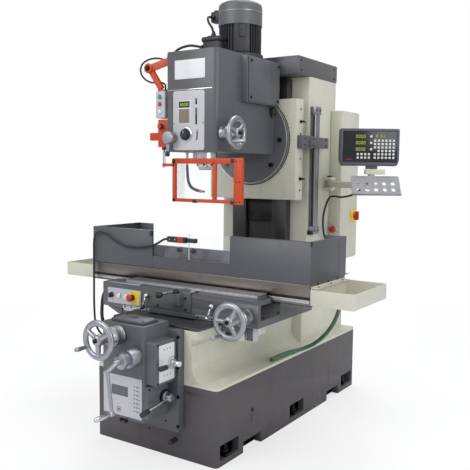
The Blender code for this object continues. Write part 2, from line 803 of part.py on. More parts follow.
def head():
    x, (front, back), (low, high) = HEAD_X, HEAD_Y, HEAD_Z
    body = block(
        "head", (-x, front, low), (x, back + 0.005, high), 0.028, "Z", 3, lambda p: p.y < -0.4 and p.x > 0
    )
    disc_back = PIVOT.y + 0.0065
    join(
        body,
        rod("disc", (0, back, PIVOT.z), (0, disc_back, PIVOT.z), DISC_RADIUS, 48),
        block("belt_box", (0.150, -0.270, 1.760), (BELT_BOX_X, 0.068, 2.002)),
    )
    sx, sy = SPINDLE
    cut(
        body,
        block("belt_room", (-0.138, -0.464, 1.835), (0.138, 0.015, 1.990), 0.01, "Z"),
        block("belt_door", (0.10, -0.240, 1.790), (0.25, 0.010, 1.975)),
        rod("quill_bore", (sx, sy, 1.4), (sx, sy, 1.9), QUILL_RADIUS + 0.0012, 24),
        rod("shaft_bore", (*MOTOR, 1.95), (*MOTOR, 2.05), 0.022),
        rod("pinion_bore", (0.05, *QUILL_SHAFT.yz), (0.3, *QUILL_SHAFT.yz), 0.0125),
        rod("dial_bore", (-0.031, front - 0.1, 1.583), (-0.031, front + 0.014, 1.583), 0.0085),
        rod("lever_bore", (-0.122, front - 0.1, 1.567), (-0.122, front + 0.022, 1.567), 0.0105),
    )
    show(body, "head_casing", "dark_paint")

    cover = block(
        "belt_cover",
        (BELT_BOX_X + GAP, -0.255, 1.766),
        (BELT_BOX_X + 0.006, 0.064, 1.998),
        0.004,
        "X",
    )
    show(cover, "belt_cover", "dark_paint")

    quill = rod("quill", (sx, sy, 1.446), (sx, sy, 1.826), QUILL_RADIUS, 24)
    cut(quill, rod("spindle_bore", (sx, sy, 1.4), (sx, sy, 1.9), SPINDLE_RADIUS + 0.0008, 24))
    show(quill, "quill", "bright_steel")

    spindle = turned(
        "spindle",
        (sx, sy, 1.400),
        (0, 0, 1),
        [
            (0.583, SPINDLE_RADIUS - 0.002),
            (0.580, SPINDLE_RADIUS),
            (0.0455, SPINDLE_RADIUS),
            (0.0455, 0.044),
            (0.020, 0.044),
            (0.016, 0.033),
            (0, 0.030),
        ],
    )
    cut(spindle, rod("taper", (sx, sy, 1.39), (sx, sy, 1.47), 0.016, 20, 0.010))
    show(spindle, "spindle", "bright_steel")

    pulley("spindle_pulley", Vector((sx, sy, 0)), SPINDLE_PULLEY, SPINDLE_RADIUS + 0.0008)
    pulley("motor_pulley", Vector((*MOTOR, 0)), MOTOR_PULLEY, None)
    belt()


def pulley(name, place, radius, bore):
    low, high = BELT_Z
    made = turned(
        name,
        place + Vector((0, 0, low - 0.006)),
        (0, 0, 1),
        [
            (0.052, radius + 0.005),
            (0.046, radius + 0.005),
            (0.046, radius),
            (0.006, radius),
            (0.006, radius + 0.005),
            (0, radius + 0.005),
        ],
        20,
    )
    if bore:
        cut(made, rod("bore", place + Vector((0, 0, 1.8)), place + Vector((0, 0, 2)), bore, 24))
    else:
        join(made, rod("motor_shaft", place + Vector((0, 0, 1.86)), place + Vector((0, 0, 2.010)), 0.014))
    show(made, name, "satin_steel")


def belt():
    """The belt's loop round both pulleys, from two arcs and the straight runs between them."""
    low, high = BELT_Z
    run = MOTOR - SPINDLE
    heading = math.atan2(run.y, run.x)
    lean = math.acos((SPINDLE_PULLEY - MOTOR_PULLEY) / run.length)

    def loop(extra):
        points = []
        for centre, radius, first, sweep in (
            (SPINDLE, SPINDLE_PULLEY + extra, heading + lean, math.tau - 2 * lean),
            (MOTOR, MOTOR_PULLEY + extra, heading - lean, 2 * lean),
        ):
            for step in range(17):
                angle = first + sweep * step / 16
                points.append(centre + radius * Vector((math.cos(angle), math.sin(angle))))
        return points

    middle = Matrix.Translation((0, 0, (low + high) / 2))
    outer = outline("drive_belt", loop(0.0065), high - low - 0.004, middle)
    inner = outline("belt_hole", loop(0.0012), 0.1, middle)
    show(cut(outer, inner), "drive_belt", "black_rubber")


def motor():
    low = HEAD_Z[1] + GAP
    body = turned(
        "motor",
        (*MOTOR, low),
        (0, 0, 1),
        [
            (0.314, 0.050),
            (0.309, 0.085),
            (0.297, 0.112),
            (0.284, 0.121),
            (0.210, 0.121),
            (0.208, 0.116),
            (0.024, 0.116),
            (0.022, 0.128),
            (0, 0.128),
        ],
        28,
    )
    join(
        body,
        block("terminal_box", (-0.110, -0.264, low), (0.020, -0.140, 2.127), 0.014, "Z"),
        block("motor_plug", (-0.148, -0.120, 2.226), (-0.085, -0.060, 2.287), 0.006, "X"),
    )
    cut(body, rod("motor_bore", (*MOTOR, 1.9), (*MOTOR, 2.05), 0.018))
    show(body, "motor", "dark_iron")


def head_controls():
    front = HEAD_Y[0]
    wheel = handwheel(
        "quill_handwheel",
        (0.250, *QUILL_SHAFT.yz),
        (1, 0, 0),
        0.085,
        0.250 - HEAD_X,
        0.088,
        math.radians(218),
        0.036,
        0.080,
    )
    show(wheel, "quill_handwheel", "satin_steel")

    dial = turned(
        "speed_dial",
        (-0.031, front - GAP, 1.583),
        (0, -1, 0),
        [
            (0.030, 0.018),
            (0.028, 0.021),
            (0.008, 0.023),
            (0.007, 0.038),
            (0, 0.040),
            (0, 0.008),
            (-0.012, 0.008),
        ],
        20,
    )
    show(dial, "speed_dial", "black_plastic")

    hub = Vector((-0.122, front - GAP, 1.567))
    lever = turned(
        "gear_lever",
        hub,
        (0, -1, 0),
        [
            (0.052, 0.024),
            (0.048, 0.032),
            (0.026, 0.036),
            (0.022, 0.028),
            (0, 0.030),
            (0, 0.010),
            (-0.020, 0.010),
        ],
        20,
    )
    top = hub + Vector((0, -0.036, 0))
    tip = top + Vector((-0.006, 0, -0.098))
    grip = top + Vector((-0.0045, 0, -0.068))
    join(
        lever,
        rod("lever_arm", top, tip + Vector((0, 0, 0.01)), 0.0085, 12, 0.007),
        rod("lever_grip", grip, tip, 0.0115, 14, 0.010),
    )
    show(lever, "gear_lever", "satin_steel")


def pendant_arm():
    y = ARM_Y
    wall = -HEAD_X - GAP
    shoulder, elbow, wrist = Vector((wall, 1.972)), Vector((-0.302, 1.941)), Vector((-0.222, 1.828))

    def bar(name, start, end, width, depth):
        run = end - start
        made = block(name, (0, -depth / 2, -width / 2), (run.length, depth / 2, width / 2))
        made.data.transform(Matrix.Translation(made.location))
        made.location = (0, 0, 0)
        made.matrix_world = Matrix.Translation((start.x, y, start.y)) @ Matrix.Rotation(
            -math.atan2(run.y, run.x), 4, "Y"
        )
        return made

    arm = block("shoulder_plate", (wall - 0.006, y - 0.025, 1.945), (wall, y + 0.025, 1.998))
    join(
        arm,
        bar("upper_arm", shoulder + Vector((-0.0045, 0)), elbow, 0.036, 0.018),
        bar("lower_arm", elbow, wrist, 0.032, 0.016),
        rod("elbow", (elbow.x, y + 0.014, elbow.y), (elbow.x, y - 0.020, elbow.y), 0.026, 24),
        block("wrist_plate", (-0.235, y - 0.018, 1.8145), (-0.184, y + 0.010, 1.824)),
    )
    show(arm, "pendant_arm", "signal_orange")

    box = block("pendant", (-0.237, -0.489, 1.6725), (-0.177, -0.432, 1.814), 0.006, "Y")
    for z in (1.782, 1.744):
        cut(box, rod("button_bore", (-0.2065, -0.6, z), (-0.2065, -0.468, z), 0.0085, 16))
    show(box, "pendant", "panel_grey")
    for name, z, colour in (("start_button", 1.782, "green"), ("halt_button", 1.744, "red")):
        button = turned(
            name,
            (-0.2065, -0.489, z),
            (0, -1, 0),
            [(0.008, 0.0105), (0.0065, 0.0125), (0.0045, 0.0125), (0.0045, 0.008), (-0.0155, 0.008)],
            16,
        )
        show(button, name, colour + "_plastic")

    block_y = (y - 0.016, y + 0.016)
    bracket = block("bracket", (-0.233, block_y[0], 1.520), (wall, block_y[1], 1.666), 0.005, "Y")
    join(
        bracket,
        block("clamp_block", (-0.292, y - 0.014, 1.556), (-0.228, y + 0.014, 1.597), 0.004, "Y"),
        rod("clamp_knob", (-0.205, y - 0.01, 1.628), (-0.205, y - 0.044, 1.628), 0.012, 16),
    )
    cut(bracket, rod("guard_bore", (GUARD_ROD_X, y, 1.4), (GUARD_ROD_X, y, 1.60), 0.0076))
    show(bracket, "guard_bracket", "signal_orange")


def spindle_guard():
    y = GUARD_Y
    low, high = 1.232, 1.455
    half = 0.008

    def bar(name, x0, x1, z0, z1):
        return block(name, (x0, y - half, z0), (x1, y + half, z1))

    frame = rod("guard_rod", (GUARD_ROD_X, y, 1.425), (GUARD_ROD_X, y, 1.598), 0.0068, 14)
    join(
        frame,
        bar("guard_link", GUARD_ROD_X - 0.009, -0.130, 1.418, 1.434),
        bar("left_post", -0.142, -0.122, low, high),
        bar("middle_post", 0.118, 0.139, low + 0.001, high - 0.001),
        bar("top_bar", -0.141, 0.262, high - 0.018, high - 0.0005),
        bar("bottom_bar", -0.141, 0.262, low + 0.0005, low + 0.018),
        block("right_post", (0.254, y - 0.010, 1.228), (0.300, y + 0.010, 1.4585)),
        block("pane", (-0.135, y - 0.002, low + 0.01), (0.258, y + 0.002, high - 0.01)),
        block("side_pane", (-0.1415, y - 0.002, low + 0.002), (-0.1385, y + 0.100, high - 0.002)),
    )
    show(frame, "guard_frame", "signal_orange")


# ---------------------------------------------------------------- digital read-out
def readout():
    base = Vector((DRO_PIVOT.x, DRO_PIVOT.y, 0))
    run = DRO_END - DRO_PIVOT
    turn = math.atan2(run.y, run.x)
    length = run.length
    z = DRO_PIVOT.z
    half = 0.0185
    arm = block("arm", (0, -0.020, z - half), (length, 0.020, z + half), 0.006, "X")
    parts = [
        rod("arm_pin", (0, 0, z - 0.024), (0, 0, z + 0.036), 0.0095, 16),
        rod("arm_post", (length, 0, z - 0.020), (length, 0, 1.4145), 0.019, 20),
    ]
    for thing in (arm, *parts):
        thing.matrix_world = (
            Matrix.Translation(base) @ Matrix.Rotation(turn, 4, "Z") @ thing.matrix_basis
        )
    bpy.context.view_layer.update()
    join(arm, *parts)
    tray = block("tool_tray", (-0.128, -0.002, -0.062), (0.128, 0.002, 0.062))
    tray_place = (
        Matrix.Translation((DRO_END.x, DRO_END.y, 1.327))
        @ Matrix.Rotation(DRO_TURN, 4, "Z")
        @ Matrix.Translation((0.012, -0.072, 0))
        @ Matrix.Rotation(math.radians(-38), 4, "X")
    )
    holes = []
    for row in (-0.028, 0.012):
        for number in range(5):
            x = (number - 2) * 0.046
            hole = rod("tray_hole", (x, -0.02, row), (x, 0.02, row), 0.011, 12)
            hole.matrix_world = tray_place @ hole.matrix_basis
            holes.append(hole)
    tray.matrix_world = tray_place @ tray.matrix_basis
    strut = block("tray_strut", (-0.018, -0.055, -0.010), (0.018, 0.0, 0.010))
    strut.matrix_world = (
        Matrix.Translation((DRO_END.x, DRO_END.y, 1.325))
        @ Matrix.Rotation(DRO_TURN, 4, "Z")
        @ Matrix.Translation((0, -0.012, 0))
        @ strut.matrix_basis
    )
    neck = block("neck", (-0.035, -0.022, 1.386), (0.072, 0.022, 1.4145), 0.004, "Z")
    neck.matrix_world = (
        Matrix.Translation((DRO_END.x, DRO_END.y, 0))
        @ Matrix.Rotation(DRO_TURN, 4, "Z")
        @ neck.matrix_basis
    )
    bpy.context.view_layer.update()
    cut(tray, *holes)
    join(arm, tray, strut, neck)
    show(arm, "dro_arm", "cream_paint")

    unit = block("unit", (-0.176, -0.030, -0.1000), (0.142, 0.030, 0.1000), 0.010, "Y")
    foot = block("unit_foot", (-0.030, -0.018, -0.1165), (0.030, 0.018, -0.095))
    place = (
        Matrix.Translation((DRO_END.x, DRO_END.y, 1.5315)) @ Matrix.Rotation(DRO_TURN, 4, "Z")
    )
    for thing in (unit, foot):
        thing.matrix_world = place @ thing.matrix_basis
    bpy.context.view_layer.update()
    join(unit, foot)
    show(unit, "dro_unit", "black_plastic")


# ---------------------------------------------------------------- cables and hoses
CORDS = {
    "interlock_cable": (0.0060, "black_rubber", [
        (-0.1410, -0.503, 1.0335),
        (-0.170, -0.503, 1.029),
        (-0.200, -0.505, 1.012),
        (-0.250, -0.508, 0.990),
        (-0.336, -0.508, 0.975),
        (-0.434, -0.508, 0.974),
        (-0.520, -0.508, 1.000),
        (-0.580, -0.508, 1.030),
        (-0.630, -0.508, 1.044),
        (-0.668, -0.508, 1.030),
        (-0.683, -0.508, 0.990),
        (-0.685, -0.508, 0.900),
        (-0.686, -0.508, 0.750),
        (-0.686, -0.508, 0.600),
        (-0.676, -0.505, 0.500),
        (-0.640, -0.490, 0.440),
        (-0.580, -0.460, 0.430),
        (-0.520, -0.420, 0.480),
        (-0.472, -0.390, 0.570),
        (-0.460, -0.380, 0.625),
        (-0.460, -0.380, 0.6545),
    ]),
    "saddle_conduit": (0.0100, "black_rubber", [
        (-0.5015, -0.560, 0.735),
        (-0.525, -0.560, 0.734),
        (-0.552, -0.566, 0.700),
        (-0.560, -0.572, 0.640),
        (-0.550, -0.580, 0.560),
        (-0.500, -0.580, 0.480),
        (-0.420, -0.560, 0.432),
        (-0.330, -0.520, 0.420),
        (-0.275, -0.480, 0.440),
        (-0.2370, -0.480, 0.440),
    ]),
    "drain_hose": (0.0110, "green_hose", [
        (0.655, -0.046, 0.7715),
        (0.655, -0.046, 0.740),
        (0.651, -0.045, 0.690),
        (0.636, -0.038, 0.640),
        (0.606, -0.022, 0.585),
        (0.562, 0.004, 0.530),
        (0.512, 0.026, 0.480),
        (0.462, 0.036, 0.440),
        (0.418, 0.026, 0.414),
        (0.385, -0.008, 0.402),
        (0.368, -0.062, 0.4005),
        (0.360, -0.125, 0.4005),
        (0.358, -0.190, 0.4005),
        (0.358, -0.250, 0.4005),
    ]),
    "pendant_cable": (0.0050, "black_rubber", [
        (-0.1595, -0.424, 1.965),
        (-0.195, -0.424, 1.968),
        (-0.260, -0.424, 1.995),
        (-0.330, -0.424, 1.998),
        (-0.384, -0.424, 1.978),
        (-0.400, -0.424, 1.938),
        (-0.374, -0.425, 1.898),
        (-0.320, -0.428, 1.872),
        (-0.262, -0.434, 1.870),
        (-0.218, -0.4385, 1.856),
        (-0.212, -0.4385, 1.835),
        (-0.212, -0.4385, 1.8155),
    ]),
    "motor_conduit": (0.0070, "black_rubber", [
        (-0.1115, -0.238, 2.070),
        (-0.138, -0.240, 2.076),
        (-0.182, -0.272, 2.080),
        (-0.222, -0.320, 2.055),
        (-0.230, -0.355, 2.010),
        (-0.215, -0.380, 1.965),
        (-0.185, -0.390, 1.938),
        (-0.1600, -0.390, 1.936),
    ]),
    "dro_cable": (0.0060, "black_rubber", [
        (0.7106, 0.2273, 1.4915),
        (0.6970, 0.2490, 1.4890),
        (0.6850, 0.2720, 1.4600),
        (0.6720, 0.2900, 1.4000),
        (0.6300, 0.3150, 1.3350),
        (0.5500, 0.3550, 1.275),
        (0.4500, 0.4000, 1.250),
        (0.3700, 0.4150, 1.250),
        (0.3400, 0.4100, 1.200),
        (0.3250, 0.4050, 1.120),
        (0.3250, 0.4200, 1.020),
        (0.3350, 0.4600, 0.965),
        (0.3400, 0.5000, 0.955),
        (0.3400, 0.5310, 0.955),
    ]),
    "coolant_hose": (0.0070, "blue_hose", [
        (-0.070, -0.432, 1.4930),
        (-0.070, -0.432, 1.440),
        (-0.068, -0.432, 1.390),
        (-0.062, -0.432, 1.345),
        (-0.045, -0.432, 1.312),
        (-0.012, -0.432, 1.296),
        (0.020, -0.432, 1.290),
        (0.045, -0.432, 1.288),
    ]),
}


def cords():
    for name, (radius, material, route) in CORDS.items():
        spacing = max(0.030, radius * 3.5)
        show(tube(name, smooth_points(route, spacing), radius), name, material)


clear_scene()
MACHINE = make_collection("milling_machine")
TOOLS = make_collection("cutters")
base_skirt()
bed()
column()
cabinet()
gearbox()
saddle()
table()
table_guard()
carriage()
head()
motor()
head_controls()
pendant_arm()
spindle_guard()
readout()
cords()
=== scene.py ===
"""Finishes and fittings of a bed type vertical milling machine, laid over its fixed frame."""

import math

import bpy
from mathutils import Matrix, Vector


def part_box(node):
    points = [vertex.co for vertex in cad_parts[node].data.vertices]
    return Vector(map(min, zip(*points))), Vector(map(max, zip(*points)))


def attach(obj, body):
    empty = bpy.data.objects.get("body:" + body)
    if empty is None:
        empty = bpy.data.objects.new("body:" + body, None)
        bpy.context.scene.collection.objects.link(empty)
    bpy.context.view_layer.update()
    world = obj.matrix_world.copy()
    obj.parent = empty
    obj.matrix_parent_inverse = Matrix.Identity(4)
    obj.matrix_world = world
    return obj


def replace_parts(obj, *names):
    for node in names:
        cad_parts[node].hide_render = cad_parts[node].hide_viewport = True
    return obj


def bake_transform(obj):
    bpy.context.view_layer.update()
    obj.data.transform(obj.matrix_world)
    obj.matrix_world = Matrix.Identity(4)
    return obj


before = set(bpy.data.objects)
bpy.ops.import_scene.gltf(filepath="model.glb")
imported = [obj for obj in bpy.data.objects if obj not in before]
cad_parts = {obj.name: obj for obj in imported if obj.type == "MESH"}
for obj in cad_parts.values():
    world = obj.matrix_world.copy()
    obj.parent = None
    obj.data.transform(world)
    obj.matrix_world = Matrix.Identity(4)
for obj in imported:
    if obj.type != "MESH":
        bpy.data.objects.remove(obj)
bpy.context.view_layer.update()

# ---------------------------------------------------------------- camera
EYE = Vector((2.1303, -3.3109, 1.398))
HEADING, PITCH, ROLL = (math.radians(a) for a in (33.314, 5.402, 0.603))
LENS, SENSOR = 51.96, 36

# ---------------------------------------------------------------- cords: radius and route
CORDS = {
    "interlock_cable": (0.0060, [
        (-0.1410, -0.503, 1.0335),
        (-0.170, -0.503, 1.029),
        (-0.200, -0.505, 1.012),
        (-0.250, -0.508, 0.990),
        (-0.336, -0.508, 0.975),
        (-0.434, -0.508, 0.974),
        (-0.520, -0.508, 1.000),
        (-0.580, -0.508, 1.030),
        (-0.630, -0.508, 1.044),
        (-0.668, -0.508, 1.030),
        (-0.683, -0.508, 0.990),
        (-0.685, -0.508, 0.900),
        (-0.686, -0.508, 0.750),
        (-0.686, -0.508, 0.600),
        (-0.676, -0.505, 0.500),
        (-0.640, -0.490, 0.440),
        (-0.580, -0.460, 0.430),
        (-0.520, -0.420, 0.480),
        (-0.472, -0.390, 0.570),
        (-0.460, -0.380, 0.625),
        (-0.460, -0.380, 0.6545),
    ]),
    "saddle_conduit": (0.0100, [
        (-0.5015, -0.560, 0.735),
        (-0.525, -0.560, 0.734),
        (-0.552, -0.566, 0.700),
        (-0.560, -0.572, 0.640),
        (-0.550, -0.580, 0.560),
        (-0.500, -0.580, 0.480),
        (-0.420, -0.560, 0.432),
        (-0.330, -0.520, 0.420),
        (-0.275, -0.480, 0.440),
        (-0.2370, -0.480, 0.440),
    ]),
    "drain_hose": (0.0110, [
        (0.655, -0.046, 0.7715),
        (0.655, -0.046, 0.740),
        (0.651, -0.045, 0.690),
        (0.636, -0.038, 0.640),
        (0.606, -0.022, 0.585),
        (0.562, 0.004, 0.530),
        (0.512, 0.026, 0.480),
        (0.462, 0.036, 0.440),
        (0.418, 0.026, 0.414),
        (0.385, -0.008, 0.402),
        (0.368, -0.062, 0.4005),
        (0.360, -0.125, 0.4005),
        (0.358, -0.190, 0.4005),
        (0.358, -0.250, 0.4005),
    ]),
    "pendant_cable": (0.0050, [
        (-0.1595, -0.424, 1.965),
        (-0.195, -0.424, 1.968),
        (-0.260, -0.424, 1.995),
        (-0.330, -0.424, 1.998),
        (-0.384, -0.424, 1.978),
        (-0.400, -0.424, 1.938),
        (-0.374, -0.425, 1.898),
        (-0.320, -0.428, 1.872),
        (-0.262, -0.434, 1.870),
        (-0.218, -0.4385, 1.856),
        (-0.212, -0.4385, 1.835),
        (-0.212, -0.4385, 1.8155),
    ]),
    "motor_conduit": (0.0070, [
        (-0.1115, -0.238, 2.070),
        (-0.138, -0.240, 2.076),
        (-0.182, -0.272, 2.080),
        (-0.222, -0.320, 2.055),
        (-0.230, -0.355, 2.010),
        (-0.215, -0.380, 1.965),
        (-0.185, -0.390, 1.938),
        (-0.1600, -0.390, 1.936),
    ]),
    "dro_cable": (0.0060, [
        (0.7106, 0.2273, 1.4915),
        (0.6970, 0.2490, 1.4890),
        (0.6850, 0.2720, 1.4600),
        (0.6720, 0.2900, 1.4000),
        (0.6300, 0.3150, 1.3350),
        (0.5500, 0.3550, 1.275),
        (0.4500, 0.4000, 1.250),
        (0.3700, 0.4150, 1.250),
        (0.3400, 0.4100, 1.200),
        (0.3250, 0.4050, 1.120),
        (0.3250, 0.4200, 1.020),
        (0.3350, 0.4600, 0.965),
        (0.3400, 0.5000, 0.955),
        (0.3400, 0.5310, 0.955),
    ]),
    "coolant_hose": (0.0070, [
        (-0.070, -0.432, 1.4930),
        (-0.070, -0.432, 1.440),
        (-0.068, -0.432, 1.390),
        (-0.062, -0.432, 1.345),
        (-0.045, -0.432, 1.312),
        (-0.012, -0.432, 1.296),
        (0.020, -0.432, 1.290),
        (0.045, -0.432, 1.288),
    ]),
}

# ---------------------------------------------------------------- driving sizes, shared with the frame
HEAD_FRONT = -0.489  # face that the dial turns on
HEAD_SIDE = 0.158  # half the casing's width
SADDLE_FRONT = -0.624
GEARBOX_FRONT = -1.014
FLANGE_FRONT = -0.834
SWIVEL_Z = 1.575  # height of the head's swivel
GUARD_Y = -0.459  # middle of the pendant's arm and of the spindle guard
GUARD_HINGE_X = -0.205
FEED_SHAFT = Vector((0.190, -0.885, 0.505))  # where the feed lever leaves its box
RANGE_SHAFT = Vector((0.150, -0.890, 0.338))
TABLE_LOW, TABLE_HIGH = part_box("table")
TABLE_MID = (TABLE_LOW.y + TABLE_HIGH.y) / 2
MOTOR_AXIS = Vector((0.030, -0.084))
SPINDLE = Vector((0.0, -0.369))
ORIGIN = Vector((0, 0, 0))
UP, DOWN = Vector((0, 0, 1)), Vector((0, 0, -1))
LEFT, RIGHT = Vector((-1, 0, 0)), Vector((1, 0, 0))
FRONT, BACK = Vector((0, -1, 0)), Vector((0, 1, 0))


# ---------------------------------------------------------------- shader maths
class Value:
    """A shader socket that arithmetic works on."""

    def __init__(self, graph, socket):
        self.graph, self.socket = graph, socket

    def math(self, operation, *values):
        return self.graph.node("Math", {"operation": operation}, values)

    def __add__(self, other):
        return self.math("ADD", self, other)

    def __sub__(self, other):
        return self.math("SUBTRACT", self, other)

    def __rsub__(self, other):
        return self.math("SUBTRACT", other, self)

    def __mul__(self, other):
        return self.math("MULTIPLY", self, other)

    __radd__, __rmul__ = __add__, __mul__


class Graph:
    """The nodes of a material or of the world."""

    def __init__(self, owner):
        owner.use_nodes = True
        self.tree = owner.node_tree

    def join(self, value, socket):
        """Links a Value to a socket, or sets the socket to a plain number or colour."""
        if isinstance(value, Value):
            self.tree.links.new(value.socket, socket)
        else:
            socket.default_value = value

    def node(self, kind, settings=(), inputs=(), out=0):
        made = self.tree.nodes.new("ShaderNode" + kind)
        for key, value in dict(settings).items():
            setattr(made, key, value)
        pairs = inputs.items() if isinstance(inputs, dict) else enumerate(inputs)
        for key, value in pairs:
            self.join(value, made.inputs[key])
        return Value(self, made.outputs[out]) if made.outputs else None


class Finish(Graph):
    """A material under construction."""

    def __init__(self, name, rough=0.4, metal=0.0):
        self.material = bpy.data.materials.new(name)
        super().__init__(self.material)
        self.shader = self.tree.nodes["Principled BSDF"]
        self.feed("Roughness", rough)
        self.feed("Metallic", metal)
        self.place = self.node("TexCoord", out="Object")

    def feed(self, socket, value):
        self.join(value, self.shader.inputs[socket])

    def noise(self, scale, detail=2.0, stretch=(1, 1, 1)):
        place = self.place
        if stretch != (1, 1, 1):
            place = self.node("Mapping", {}, {"Vector": place, "Scale": stretch})
        return self.node("TexNoise", {}, {"Vector": place, "Scale": scale, "Detail": detail}, "Fac")

    def step(self, value, low, high):
        """0 below low, 1 above high."""
        inputs = {"Value": value, "From Min": low, "From Max": high}
        return self.node("MapRange", {"interpolation_type": "SMOOTHSTEP"}, inputs)

    def mix(self, factor, first, second):
        inputs = {0: factor, 6: first, 7: second}
        return self.node("Mix", {"data_type": "RGBA"}, inputs, 2)

    def round_edges(self, radius):
        """The normal, turned over each edge as if it were rounded, and how far it turns."""
        turned = self.node("Bevel", {"samples": 4}, {"Radius": radius})
        flat = self.node("NewGeometry", out="True Normal")
        along = self.node("VectorMath", {"operation": "DOT_PRODUCT"}, [turned, flat], "Value")
        return turned, 1 - along

    def bump(self, height, distance, normal=None):
        inputs = {"Height": height, "Distance": distance, "Strength": 1.0}
        if normal is not None:
            inputs["Normal"] = normal
        return self.node("Bump", {}, inputs)


def tinted(colour, factor):
    return (*(min(1.0, c * factor) for c in colour[:3]), 1)


PRIMER = (0.10, 0.09, 0.08)  # shows where pale enamel is rubbed through
PEEL = 0.00012  # depth of the sprayed grain


def enamel(name, colour, rough=0.42, edge=0.002, wear=0.5):
    """Sprayed enamel over a filled casting: orange peel, tone drift, specks, runs and rubbed edges."""
    made = Finish(name)
    drift = made.noise(2.6, 3)
    cloud = made.noise(19, 4)
    runs = made.noise(26, 3, (1, 1, 0.10))
    specks = made.step(made.noise(210, 1), 0.70, 0.74)
    normal, rim = made.round_edges(edge)
    rubbed = made.step(rim + made.noise(55, 4) * 0.22, 0.22, 0.32) * wear
    base = made.mix(drift, tinted(colour, 0.86), tinted(colour, 1.10))
    base = made.mix(made.step(cloud, 0.45, 0.85) * 0.35, base, tinted(colour, 0.78))
    base = made.mix(made.step(runs, 0.58, 0.80) * 0.28, base, tinted(colour, 0.66))
    base = made.mix(specks * 0.45, base, tinted(colour, 0.40))
    base = made.mix(rubbed, base, tinted(PRIMER, 1.0) if colour[0] > 0.3 else tinted(colour, 2.4))
    made.feed("Base Color", base)
    made.feed("Roughness", rough - 0.06 + cloud * 0.14 + made.step(runs, 0.55, 0.8) * 0.10)
    grain = made.noise(420, 2) + made.noise(120, 2) * 0.6
    made.feed("Normal", made.bump(grain, PEEL, normal))
    return made.material


def metal(name, colour, rough=0.32, brush=None, edge=0.0012, grime=0.35):
    """Machined metal; brush stretches its scratches along one axis."""
    made = Finish(name, metal=1.0)
    stretch = {"X": (0.02, 1, 1), "Y": (1, 0.02, 1), "Z": (1, 1, 0.02)}.get(brush, (1, 1, 1))
    lines = made.noise(900 if brush else 300, 3, stretch)
    broad = made.noise(90 if brush else 25, 3, stretch)
    stain = made.step(made.noise(11, 5), 0.5, 0.78)
    normal, rim = made.round_edges(edge)
    base = made.mix(broad, tinted(colour, 0.80), tinted(colour, 1.18))
    base = made.mix(stain * grime, base, tinted((0.14, 0.11, 0.08), 1.0))
    base = made.mix(made.step(rim, 0.05, 0.35) * 0.6, base, tinted(colour, 1.7))
    made.feed("Base Color", base)
    made.feed("Roughness", rough - 0.08 + lines * 0.16 + stain * 0.18)
    made.feed("Normal", made.bump(lines, 0.00005, normal))
    return made.material


def plastic(name, colour, rough=0.42, grain=0.00008, edge=0.001):
    made = Finish(name)
    fine = made.noise(700, 2)
    dust = made.step(made.noise(16, 5), 0.48, 0.85)
    normal, rim = made.round_edges(edge)
    base = made.mix(dust * 0.25, tinted(colour, 1.0), tinted([c + 0.05 for c in colour], 1.05))
    base = made.mix(made.step(rim, 0.05, 0.4) * 0.35, base, tinted([c + 0.06 for c in colour], 1.3))
    made.feed("Base Color", base)
    made.feed("Roughness", rough + fine * 0.08 + dust * 0.14)
    made.feed("Normal", made.bump(fine, grain, normal))
    return made.material


def printed(name, colour, rough=0.45):
    """A silk-screened sheet: faint mottling and fingerprints."""
    made = Finish(name)
    cloud = made.noise(14, 4)
    base = made.mix(made.step(cloud, 0.4, 0.8) * 0.5, tinted(colour, 1.03), tinted(colour, 0.82))
    made.feed("Base Color", base)
    made.feed("Roughness", rough + made.noise(60, 4) * 0.15)
    made.feed("Normal", made.bump(made.noise(260, 2), 0.00004))
    return made.material


def glowing(name, colour, strength):
    made = Finish(name, rough=0.3)
    flicker = made.noise(300, 1)
    made.feed("Base Color", tinted(colour, 0.5))
    made.feed("Emission Color", made.mix(flicker, tinted(colour, 0.8), tinted(colour, 1.0)))
    made.feed("Emission Strength", strength)
    return made.material


def clear_sheet(name, colour, alpha, rough=0.08):
    """Clear sheet under a thin and uneven film of dust."""
    made = Finish(name, rough=rough)
    wiped = made.step(made.noise(9, 5, (1, 1, 0.4)), 0.42, 0.8)
    made.feed("Base Color", tinted(colour, 1.0))
    made.feed("Alpha", alpha + wiped * 0.10)
    made.feed("Roughness", rough + wiped * 0.2)
    return made.material


